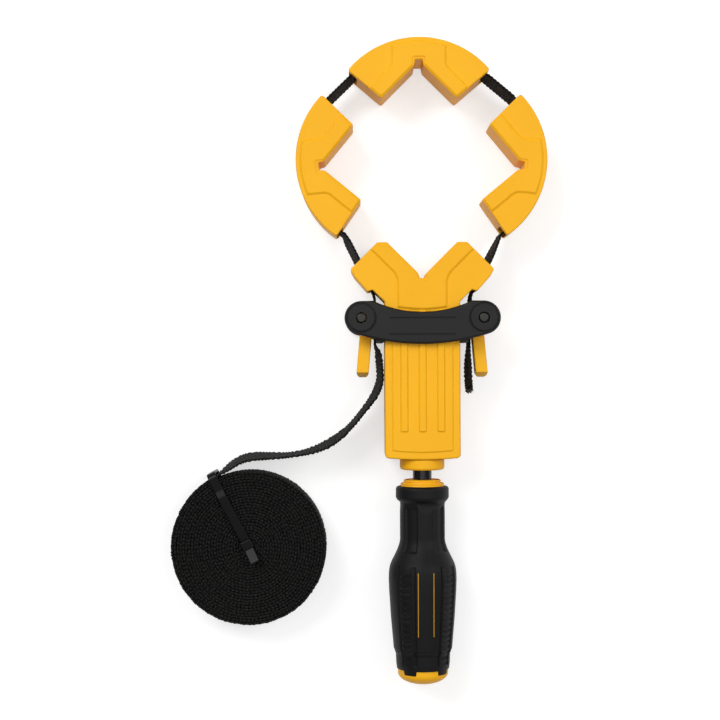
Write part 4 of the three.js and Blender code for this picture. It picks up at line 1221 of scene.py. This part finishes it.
low, high = COLLAR_Y
spigot_r, spigot_y = SPIGOT
collar = turned("end_collar_bush", [
    (low + END_CHAMFER, COLLAR_BORE), (low, COLLAR_BORE + END_CHAMFER),
    *rounded_corner(low, COLLAR_R, 1, COLLAR_ROUND),
    (high, COLLAR_R), (high, spigot_r), (spigot_y, spigot_r), (spigot_y, COLLAR_BORE),
])
finished(collar, yellow_plastic, "body", "yellow_plastic", "end_collar")

# %% [markdown]
# ## Handle
#
# A yellow core shows at both ends of the handle: as a stepped ferrule at the top and as a domed cap at the
# bottom. The black rubber grip is moulded over it. At the lower end four tongues of rubber run down over the
# cap, so the core keeps a sleeve just under them.

# %% Handle core
FERRULE_TOP_Y = -85.3
FERRULE = (10, 11.6, 1.8)
STEP_ROUND = 0.8
FLANGE_ROUND = 0.6
FLANGE_GAP = 0.1
GRIP_TOP_Y = -88.7
GRIP_LOW_Y = -187.3
CORE_R = 8.8
CAP_R = 13.3
CAP_DOME = 6.1
DOME_STEPS = 15
CAP_SLEEVE_Y = -184.3
CORE_BORE = (5.3, -127.6)

step_r, flange_r, step = FERRULE
bore_r, bore_end = CORE_BORE
flange_y = GRIP_TOP_Y + FLANGE_GAP
turns = [math.pi / 2 * i / DOME_STEPS for i in range(DOME_STEPS + 1)]
dome = [(GRIP_LOW_Y - CAP_DOME * math.sin(a), CAP_R * math.cos(a)) for a in turns]
core = turned("handle_core_moulding", [
    (bore_end, 0), (bore_end, bore_r), (FERRULE_TOP_Y, bore_r),
    *reversed(rounded_corner(FERRULE_TOP_Y, step_r, -1, STEP_ROUND)),
    (FERRULE_TOP_Y - step, step_r),
    *reversed(rounded_corner(FERRULE_TOP_Y - step, flange_r, -1, FLANGE_ROUND)),
    (flange_y, flange_r), (flange_y, CORE_R), (CAP_SLEEVE_Y, CORE_R), (CAP_SLEEVE_Y, CAP_R),
    *dome,
])
finished(core, yellow_plastic, "handle", "yellow_plastic", "handle_core")

# %% [markdown]
# The grip starts as a turned tube with many rows and columns. Then its points are moved in or out along
# their radius, as a sculptor would: four flutes and an arched dip in the neck, four finger pads with cross
# ribs in a frame, a groove on each side of a pad, and a groove round the lower end. The lower rim is stepped
# to make the four tongues. Most forms are a window that rises and falls softly, written as where it starts,
# is full, fades and ends.

# %% Grip profile
GRIP_PROFILE = [
    (0, 12.6), (0.25, 13.3), (0.7, 13.8), (1.4, 14.05), (5.6, 14.05), (6.4, 13.85), (7.4, 13.2), (8.6, 12.3),
    (9.6, 12.0), (11, 11.9), (28, 11.9), (30, 12.2), (32, 12.8), (34, 13.6), (36.1, 14.6), (39.2, 16.2),
    (41, 17.0), (42.4, 17.4), (44, 17.7), (45.6, 17.88), (49, 18), (55, 17.8), (61, 17.42), (67.9, 17),
    (74, 16.5), (80.6, 15.9), (85.6, 15.5), (86.6, 15.3), (87.4, 14.75), (88.4, 14.4), (93.3, 14.2),
    (97.4, 13.7), (98.6, 13.45),
]
GRIP_ROWS = 300
GRIP_COLUMNS = 216
GRIP_BORE = 9.1
GRIP_L = GRIP_TOP_Y - GRIP_LOW_Y


def profile_radius(below):
    for (b0, r0), (b1, r1) in zip(GRIP_PROFILE, GRIP_PROFILE[1:]):
        if below <= b1:
            return r0 + (r1 - r0) * (below - b0) / (b1 - b0)
    return GRIP_PROFILE[-1][1]


rows = [GRIP_L * i / (GRIP_ROWS - 1) for i in range(GRIP_ROWS)]
outside = [(GRIP_TOP_Y - below, profile_radius(below)) for below in rows]
wall = [(GRIP_TOP_Y, GRIP_BORE), *outside, (GRIP_LOW_Y, GRIP_BORE)]
grip = turned("handle_grip_rubber", wall, GRIP_COLUMNS)
print("grip points", len(grip.data.vertices))

# %% Relief of the grip
GRIP_TURN = 8
PAD_AT = 41
FLUTE = (9.6, 34.2, 19, 1.1)
PAD = (41, 93.4)
RIBS = (46, 94)
RIB_PITCH = 2.9
RIB_RISE = 0.42
RIB_HALF = 9.2
RIB_EDGE = (0.3, 0.62)
FRAME_HALF = 12.6
FRAME_RISE = 0.15
GROOVE_DEPTH = 0.75
GROOVE_FAR = 19
PANEL_GROOVE = (86.4, 0.5)
PANEL_SIDE = (20, 23)
TONGUE_HALF = 15.5
TONGUE_STEP = 2.4
ARCH = (8.2, 6.5, 24, 0.6)


def window(value, start, full, fade, end):
    return smooth(value, start, full) * (1 - smooth(value, fade, end))


def round_the_grip(angle):
    from_front = (math.degrees(angle) - GRIP_TURN) % 180
    from_pad = min(abs(from_front - PAD_AT), abs(from_front - 180 + PAD_AT))
    from_panel = min(from_front, 180 - from_front, abs(from_front - 90))
    return from_pad, from_panel


def flute_cut(below, away):
    start, end, half, depth = FLUTE
    along = window(below, start, start + 2.5, end - 0.5, end + 0.5)
    return depth * along * (1 - smooth(away, half - 4.5, half))


def pad_relief(below, away):
    start, end = PAD
    low, high = RIBS
    inside = window(below, start, start + 1, end, end + 0.8)
    groove = window(away, FRAME_HALF - 0.6, FRAME_HALF + 1, GROOVE_FAR - 2.5, GROOVE_FAR)
    border = window(away, RIB_HALF, RIB_HALF + 1, FRAME_HALF - 1, FRAME_HALF)
    bed = window(below, low - 1, low, high, high + 1) * (1 - smooth(away, RIB_HALF, RIB_HALF + 0.9))
    wave = 0.5 - 0.5 * math.cos(math.tau * (below - low) / RIB_PITCH)
    rib = smooth(wave, *RIB_EDGE)
    return inside * (FRAME_RISE * border - GROOVE_DEPTH * groove - bed * RIB_RISE * (1 - rib))


def panel_marks(below, away, from_panel):
    place, depth = PANEL_GROOVE
    line = window(below, place - 0.6, place, place, place + 0.6)
    top, height, half, sink = ARCH
    reach = 1 - (from_panel / half) ** 2
    arch = smooth(reach * height - (below - top), 0, 1.2) * smooth(below, top - 1, top) if reach > 0 else 0
    return -depth * line * smooth(away, *PANEL_SIDE) - sink * arch * (1 - smooth(below, top, top + height))


print("relief in the middle of a pad", round(pad_relief(sum(PAD) / 2, 0), 2), "mm")

# %% Sculpt the grip
for point in grip.data.vertices:
    x, z = point.co.x, point.co.z - AXIS_Z
    radius = math.hypot(x, z)
    if radius < (GRIP_BORE + 0.5) * MM:
        continue
    below = GRIP_TOP_Y - (point.co.y - PIVOT_Y) / MM
    away, from_panel = round_the_grip(math.atan2(x, z))
    relief = pad_relief(below, away) + panel_marks(below, away, from_panel) - flute_cut(below, away)
    moved = radius + relief * MM
    point.co.x *= moved / radius
    point.co.z = AXIS_Z + z * moved / radius
    if below > GRIP_L - TONGUE_STEP and away > TONGUE_HALF:
        point.co.y = row_point(0, GRIP_LOW_Y + TONGUE_STEP, 0)[1]
finished(grip, grip_rubber, "handle", "grip_rubber", "handle_grip")

# %% [markdown]
# ## Band
#
# The band is one long strip of webbing, and it shows mostly its edge. A woven edge is not a straight line:
# the weft turns back round it at every pick, so it looks like a twisted rope. The strip is swept along its
# route as a row of rings, and each ring is swollen a little on one side and then on the other.

# %% Route of the free tails
SHORT_TAIL = [(25, -37.6), (24.7, -33), (24.5, -27), (24.5, -20)]
TAIL_ROUTE = [
    (-23.2, -18), (-22.4, -25), (-22.2, -32.5), (-24.3, -39), (-27.8, -44.6), (-32.3, -50.4), (-37, -56.1),
    (-43.1, -61.9), (-51, -67), (-60.1, -70.5), (-70.9, -72.5), (-82, -73), (-91, -73.4), (-98.4, -75.8),
]
COIL_CENTRE = (-91.8, -120.9)
COIL_R = 41
COIL_TURNS = 24
COIL_PITCH = 1.5
COIL_START = 124
COIL_LEADS = (8, 5)
COIL_Z = 11
BAND_STEP = 0.35


def spiral_point(turn):
    radius = COIL_R - turn * COIL_PITCH
    angle = math.radians(COIL_START) + turn * math.tau
    return (COIL_CENTRE[0] + radius * math.cos(angle), COIL_CENTRE[1] + radius * math.sin(angle))


def before_coil(distance):
    x, y = spiral_point(0)
    angle = math.radians(COIL_START)
    return (x + math.sin(angle) * distance, y - math.cos(angle) * distance)


def through(points, per_span=16):
    dense = []
    for i in range(len(points) - 1):
        p0, p1, p2, p3 = (Vector(points[min(max(i + k, 0), len(points) - 1)]) for k in (-1, 0, 1, 2))
        for k in range(per_span):
            t = k / per_span
            near, far = 2 * p1 + (p2 - p0) * t, 2 * p0 - 5 * p1 + 4 * p2 - p3
            dense.append(tuple((near + far * t**2 + (3 * p1 - 3 * p2 + p3 - p0) * t**3) / 2))
    return [*dense, points[-1]]


def evenly(points, step):
    lengths = [0]
    for a, b in zip(points, points[1:]):
        lengths.append(lengths[-1] + (Vector(b) - Vector(a)).length)
    count = round(lengths[-1] / step)
    even, i = [], 0
    for k in range(count + 1):
        target = lengths[-1] * k / count
        while i < len(points) - 2 and lengths[i + 1] < target:
            i += 1
        share = (target - lengths[i]) / (lengths[i + 1] - lengths[i])
        even.append(Vector(points[i]).lerp(Vector(points[i + 1]), share))
    return even, lengths[-1]


def under_yoke(points):
    return [point for point in through(points) if point[1] < YOKE_LOW_Y]


leads = [before_coil(distance) for distance in COIL_LEADS]
long_tail = under_yoke([(-BAND_X, 0), (-BAND_X, YOKE_LOW_Y), *TAIL_ROUTE, *leads])
short_tail = under_yoke([*SHORT_TAIL, (BAND_X, YOKE_LOW_Y), (BAND_X, 0)])
band_points, band_length = evenly([*short_tail, *ring_path, *long_tail], BAND_STEP)
print("band outside the coil", round(band_length), "mm in", len(band_points), "steps")

# %% [markdown]
# The band changes height on its way, because the jaws lie lower than the tool's axis and the coil lower
# still. It leans over where nothing holds it upright: between the jaws, and on the long tail, now more and
# now less, so that one face shows. Both follow from the place on the route. A lean of the tail is written
# with the distance along it at which it is reached.

# %% Height and lean of the band
TAIL_LEANS = [(16, 8), (24, 9.3), (40, 5.8), (50, 6), (62, 9.6), (84, 3.4), (110, 9)]
SHORT_LEAN = 6
RIGHT_LEAN = (7.5, 2.5)
LEFT_LEAN = -8.2
GAP_LEAN = 4
GAP_BULGE = 0.5
GAP_SPAN = (112, 117, 126, 131)
FIXED_ENTRY_Y = 31
FALL_LEAD = 15
FALL_SHARE = (0.15, 0.75)

tail_begin = band_length - evenly(long_tail, BAND_STEP)[1]
short_end = evenly(short_tail, BAND_STEP)[1]


def band_height(along, y):
    if along > tail_begin:
        passed = (along - tail_begin + FALL_LEAD) / (band_length - tail_begin + FALL_LEAD)
        return AXIS_Z / MM + (COIL_Z - AXIS_Z / MM) * smooth(passed, *FALL_SHARE)
    share = smooth(y, FIXED_ENTRY_Y, side_run[-1][1] - 1)
    return (AXIS_Z + (LOOP_Z - AXIS_Z) * share) / MM


def in_gap(along, y):
    return window(y, *GAP_SPAN) if short_end < along < tail_begin else 0


def tail_lean(distance):
    lean = TAIL_LEANS[0][1]
    for (near, _), (far, change) in zip(TAIL_LEANS, TAIL_LEANS[1:]):
        lean += (change - lean) * smooth(distance, near, far)
    return lean


def band_lean(along, x, y):
    if along > tail_begin:
        upright_ends = window(along, tail_begin, tail_begin + 8, band_length - 12, band_length)
        return -upright_ends * tail_lean(along - tail_begin)
    if along < short_end:
        return SHORT_LEAN * smooth(along, short_end, short_end - 14)
    top = side_run[-1][1]
    span = window(y, FIXED_ENTRY_Y - 12, FIXED_ENTRY_Y, top - 6, top + 4)
    low, high = RIGHT_LEAN
    lean = low + (high - low) * smooth(y, FIXED_ENTRY_Y, top) if x > 0 else LEFT_LEAN
    return span * lean + GAP_LEAN * in_gap(along, y)


print("long tail of", round(band_length - tail_begin), "mm")

# %% Section and edge of the strip
BAND_HALF_T = 0.6
SELVEDGE = (6.4, 9.0)
ROPE_SWELL = 0.26
ROPE_RISE = 0.3
ROPE_BACK_PHASE = 2.4
ROPE_TWIST = 0.9
RISE_PHASE = 1.6
TAUT = 0.6
FREE = 1.7
FREE_EASE = 10
GAP_FREEDOM = 0.4
ROPE_DRIFT = 1.1
DRIFT_PER_MM = 0.21
SWELL_PER_MM = 0.33
SWELL_MEAN = 0.6
SIDE_STATIONS = (-9.0, -7.6, -4.5, 0, 4.5, 7.6, 9.0)
EDGE_STATION = (0.6, 9.5)


def band_section():
    out, edge = EDGE_STATION
    right = [(1, height) for height in SIDE_STATIONS]
    left = [(-1, height) for height in reversed(SIDE_STATIONS)]
    return [*right, (out, edge), (-out, edge), *left, (-out, -edge), (out, -edge)]


def roped(out, height, along, half_t, wobble, strength):
    edge = strength * smooth(abs(height), *SELVEDGE)
    turn = math.tau * (along + wobble)
    wave = math.sin(turn + (0 if out > 0 else ROPE_BACK_PHASE) + height * ROPE_TWIST)
    rise = ROPE_RISE / 2 * edge * math.sin(turn + RISE_PHASE * out)
    return out * half_t * (1 + ROPE_SWELL * edge * wave), height + math.copysign(rise, height)


print("points round the strip", len(band_section()))

# %% Sweep helpers
def tube_faces(first, count, rings):
    last = first + (rings - 1) * count
    faces = []
    for a in range(first, last, count):
        b = a + count
        faces += [(a + k, a + (k + 1) % count, b + (k + 1) % count, b + k) for k in range(count)]
    return [*faces, tuple(reversed(range(first, first + count))), tuple(range(last, last + count))]


def mesh_piece(name, points, faces):
    mesh = bpy.data.meshes.new(name)
    mesh.from_pydata(points, [], faces)
    piece = bpy.data.objects.new(name, mesh)
    scene.collection.objects.link(piece)
    activate(piece)
    bpy.ops.object.mode_set(mode="EDIT")
    face_outwards()
    bpy.ops.object.mode_set(mode="OBJECT")
    return piece


def swept(name, rings, alongs, heights):
    count = len(heights)
    points = [point for ring in rings for point in ring]
    piece = mesh_piece(name, points, tube_faces(0, count, len(rings)))
    weave = piece.data.uv_layers.new(name="weave")
    for loop in piece.data.loops:
        ring, place = divmod(loop.vertex_index, count)
        weave.data[loop.index].uv = (alongs[ring], heights[place])
    piece.data.polygons.foreach_set("use_smooth", [True] * len(piece.data.polygons))
    piece.data.update()
    return piece


def side_of(points, i):
    ahead = points[min(i + 1, len(points) - 1)] - points[max(i - 1, 0)]
    return Vector((-ahead.y, ahead.x)).normalized()


# %% Weave the strip
section = band_section()
rings, alongs = [], []
for i, point in enumerate(band_points):
    along = band_length * i / (len(band_points) - 1)
    side = side_of(band_points, i)
    lean = math.radians(band_lean(along, point.x, point.y))
    middle = band_height(along, point.y)
    past_yoke = max(along - tail_begin, short_end - along)
    free = max(smooth(past_yoke, 0, FREE_EASE), GAP_FREEDOM * in_gap(along, point.y))
    wobble = ROPE_DRIFT * free * noise.noise((along * DRIFT_PER_MM, 3.5, 0.5))
    rope = TAUT + (FREE - TAUT) * free * (SWELL_MEAN + noise.noise((along * SWELL_PER_MM, 8.5, 0.5)))
    slack = slack_at(point.x, point.y) if short_end < along < tail_begin else 0
    if point.x > 0:
        slack += GAP_BULGE * in_gap(along, point.y)
    ring = []
    for out, height in section:
        thick, up = roped(out, height, along / WEAVE_PITCH, BAND_HALF_T, wobble, rope)
        reach = thick * math.cos(lean) - up * math.sin(lean) - slack
        spot = point + side * reach
        ring.append(row_point(spot.x, spot.y, (middle + up * math.cos(lean) + thick * math.sin(lean)) * MM))
    rings.append(ring)
    alongs.append(along)
band = swept("band_webbing", rings, alongs, [height for _, height in section])
print("band faces", len(band.data.polygons))

# %% [markdown]
# The band's cut end was sealed with a flame: it is a hard brown lump, with a few yarns that got away. The
# lump is a sphere pressed out of shape by noise, and the yarns are thin tapered tubes that curl.

# %% Sealed end
LUMP = (1.8, 1.9, 8.4)
LUMP_BUMPS = [(0.55, 2.3), (0.25, 6)]
YARNS = 34
YARN_R = 0.13
YARN_TAPER = 0.7
YARN_SIDES = 5
YARN_STEPS = 6
YARN_ROW = 17.2
YARN_REACH = (1.5, 2.6)
YARN_FAN = (3.6, 1.5)
YARN_CURL = (2.4, 1)
melted_nylon = moulded("melted_nylon", (0.035, 0.018, 0.01), (0.009, 0.007, 0.006), 0.45, 0.3 * MM)

end_x, end_y = SHORT_TAIL[0]
bpy.ops.object.select_all(action="DESELECT")
bpy.ops.mesh.primitive_ico_sphere_add(subdivisions=5, radius=1)
lump = bpy.context.object
lump.name = "band_sealed_end"
for point in lump.data.vertices:
    shape = 1 + sum(size * noise.noise(point.co * scale) for size, scale in LUMP_BUMPS)
    x, y, z = (size * value * shape for size, value in zip(LUMP, point.co))
    lean = math.sin(math.radians(SHORT_LEAN))
    point.co = row_point(end_x - z * lean + x, end_y + y, AXIS_Z + z * MM)


def yarn(number):
    spread_x, spread_z, curl = (noise.noise((number * 0.71, k * 3.3, 0.5)) for k in (1, 2, 3))
    height = YARN_ROW * (number / (YARNS - 1) - 0.5)
    start = Vector((end_x - height * 0.07, end_y + 0.3, height))
    fan_x, fan_z = YARN_FAN
    course = Vector((spread_x * fan_x, -1, spread_z * fan_z)).normalized()
    least, more = YARN_REACH
    reach = least + more * abs(noise.noise((number * 1.37, 7.7, 2.2)))
    curl_x, curl_z = YARN_CURL
    hook = Vector((curl * curl_x, 0, curl * curl_z))
    shares = [k / YARN_STEPS for k in range(YARN_STEPS + 1)]
    return [start + course * (reach * t) + hook * t * t for t in shares]


points, faces = [], []
for number in range(YARNS):
    path = yarn(number)
    faces += tube_faces(len(points), YARN_SIDES, len(path))
    for k, spot in enumerate(path):
        radius = YARN_R * (1 - YARN_TAPER * k / YARN_STEPS)
        for x, z in arc_points(spot.x, spot.z, radius, 0, 360, 360 / YARN_SIDES)[:-1]:
            points.append(row_point(x, spot.y, AXIS_Z + z * MM))
yarns = mesh_piece("band_loose_yarns", points, faces)
for piece in (lump, yarns):
    finished(piece, melted_nylon, "yoke", "webbing")

# %% [markdown]
# The ring of the band stays with the body and its tails go with the yoke, which pulls the band between the
# fixed jaw and the yoke. Here the strip gets its webbing and its transform is baked in; it replaces five
# nodes of the frame.

# %% Finish the band
BAND_NODES = ("band_loop", "band_link_left", "band_link_right", "band_short_tail", "band_long_tail")

band.data.materials.append(webbing)
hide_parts(*BAND_NODES)
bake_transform(band)

# %% [markdown]
# ## Coil
#
# The rest of the band is wound flat, with the turns touching. It is the same webbing, so the same rope-like
# edge shows on every turn. Each turn lies a little higher or lower than the next, and never quite round: a
# few slow noises, each with its size, its waves per millimetre and its seed, see to that. The inner end is
# folded double, which fills the hole in the middle.

# %% Wind the coil
COIL_STEP = 0.34
COIL_WEAVE = 1.4
COIL_HALF_T = 0.69
COIL_TOP = [(1, 8.6), (0.6, 9.3), (0, 9.5), (-0.6, 9.3), (-1, 8.6)]
COIL_SECTION = [(1, -8.7), (1.1, 0), *COIL_TOP, (-1.1, 0), (-1, -8.7)]
LAST_PART_TURN = 0.85
FOLD = (0.66, 16, 13)
POINTS_PER_TURN = 90
SETTLE = [(0.5, 0.9, 1.5), (0.25, 0.16, 4.5)]
SHIFT = [(0.3, 0.45, 9.5)]
WOBBLE = [(1.5, 0.55, 2.5)]
SWELL = [(1.1, 0.3, 6.5)]
COIL_SWELL_MEAN = 0.9
COIL_SINK = 0.3


def uneven(point, waves):
    return sum(size * noise.noise((point.x * scale, point.y * scale, seed)) for size, scale, seed in waves)


turns = COIL_TURNS + LAST_PART_TURN
turn_count = round(turns * POINTS_PER_TURN)
turn_points = [leads[-1], *[spiral_point(turns * i / turn_count) for i in range(turn_count + 1)]]
fold_half, fold_start, fold_full = FOLD
coil_points, coil_length = evenly(turn_points, COIL_STEP)
rings, alongs = [], []
for i, point in enumerate(coil_points):
    along = coil_length * i / (len(coil_points) - 1)
    side = side_of(coil_points, i)
    settle = uneven(point, SETTLE) - COIL_SINK
    shift = uneven(point, SHIFT)
    wobble = uneven(point, WOBBLE)
    strength = COIL_SWELL_MEAN + uneven(point, SWELL)
    fold = fold_half * smooth(coil_length - along, fold_start, fold_full)
    ring = []
    for out, height in COIL_SECTION:
        thick, up = roped(out, height, along / COIL_WEAVE, COIL_HALF_T + fold, wobble, strength)
        top = smooth(height, 0, 9)
        spot = point + side * (thick + fold + shift * top)
        ring.append(row_point(spot.x, spot.y, (COIL_Z + up + settle * top) * MM))
    rings.append(ring)
    alongs.append(along)
coil = swept("band_coil_webbing", rings, alongs, [height for _, height in COIL_SECTION])
coil.data.materials.append(webbing)
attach(coil, "yoke")
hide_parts("band_coil")
print("coil of", round(coil_length), "mm,", len(coil.data.polygons), "faces")

# %% [markdown]
# ## Cable tie
#
# A nylon tie goes round the bundle on one side. Its strap is a plate with the outline of the loop, sawn out
# inside and stood on edge; the locking head is a rounded block on top of it, and the cut end of the strap
# sticks out of the head.

# %% Tie
TIE_ANGLE = 117.3
TIE_T = 1.2
TIE_W = 4.8
TIE_SPAN = (3.42, 43.25)
TIE_TOP = 22
TIE_BEND_R = 2.6
TIE_CREST = [(34.2, 0), (30, 1.2), (14, 0.5)]
TIE_HEAD = (5.4, 6.4, 3.6)
TIE_HEAD_AT = 1.92
TIE_TAIL = (-8.9, 1.5)
TIE_TAIL_TILT = 21
TIE_CORNER_R = 0.6
TIE_CREST_R = 5
TIE_HEAD_R = 0.9
TIE_HEAD_RIM = 0.6
TIE_STRAP_RIM = 0.3
TIE_TAIL_R = 0.3
TIE_TAIL_RIM = 0.25


def loop_outline(grow):
    near, far = TIE_SPAN
    low, high = TIE_T - grow, TIE_TOP - TIE_T + grow
    corner = grow + TIE_CORNER_R
    return rounded([
        (near - grow, low, corner),
        (far + grow, low, corner),
        (far + grow, high, grow + TIE_BEND_R),
        *[(x, high + rise, TIE_CREST_R) for x, rise in TIE_CREST],
        (near - grow, high, corner),
    ])


def tilted(outline, degrees, about):
    turn = Matrix.Rotation(math.radians(degrees), 2)
    return [tuple(Vector(about) + turn @ (Vector(point) - Vector(about))) for point in outline]


def modelled_tie():
    strap = middle_plate("cable_tie_strap", loop_outline(TIE_T), 0, TIE_W / 2, TIE_STRAP_RIM)
    cut(strap, middle_plate("inside", loop_outline(0), 0, TIE_W))
    length, width, height = TIE_HEAD
    low = TIE_TOP - TIE_T
    head = box_outline(TIE_HEAD_AT - length / 2, TIE_HEAD_AT + length / 2, low, low + height, TIE_HEAD_R)
    joined(strap, middle_plate("tie_head", head, 0, width / 2, TIE_HEAD_RIM))
    near, far = TIE_TAIL
    tail = box_outline(near, far, TIE_TOP, TIE_TOP + TIE_T, TIE_TAIL_R)
    tail = tilted(tail, -TIE_TAIL_TILT, (far, TIE_TOP))
    joined(strap, middle_plate("tie_tail", tail, 0, TIE_W / 2, TIE_TAIL_RIM))
    return strap


tie = modelled_tie()
seat = Matrix.Translation(row_point(*COIL_CENTRE, 0)) @ Matrix.Rotation(math.radians(TIE_ANGLE), 4, "Z")
tie.data.transform(seat @ Matrix.Rotation(math.pi / 2, 4, "X") @ Matrix.Translation((0, -PIVOT_Y, 0)))
finished(tie, tie_nylon, "yoke", "black_plastic", "cable_tie")

# %% [markdown]
# ## Inner parts
#
# The nut, bush, washer, clip and cross pin are right as they are in the frame, so they stay and only get
# their metals.

# %% Metals of the inner parts
INNER_METALS = {
    "thrust_bush": bearing_bronze,
    "thrust_washer": bearing_bronze,
    "retaining_clip": black_oxide,
    "handle_cross_pin": black_oxide,
    "traverse_nut": black_oxide,
}

for name, metal in INNER_METALS.items():
    node = frame["nodes"][name]
    for slot in node.material_slots:
        slot.material = metal
print("inner parts:", len(INNER_METALS))
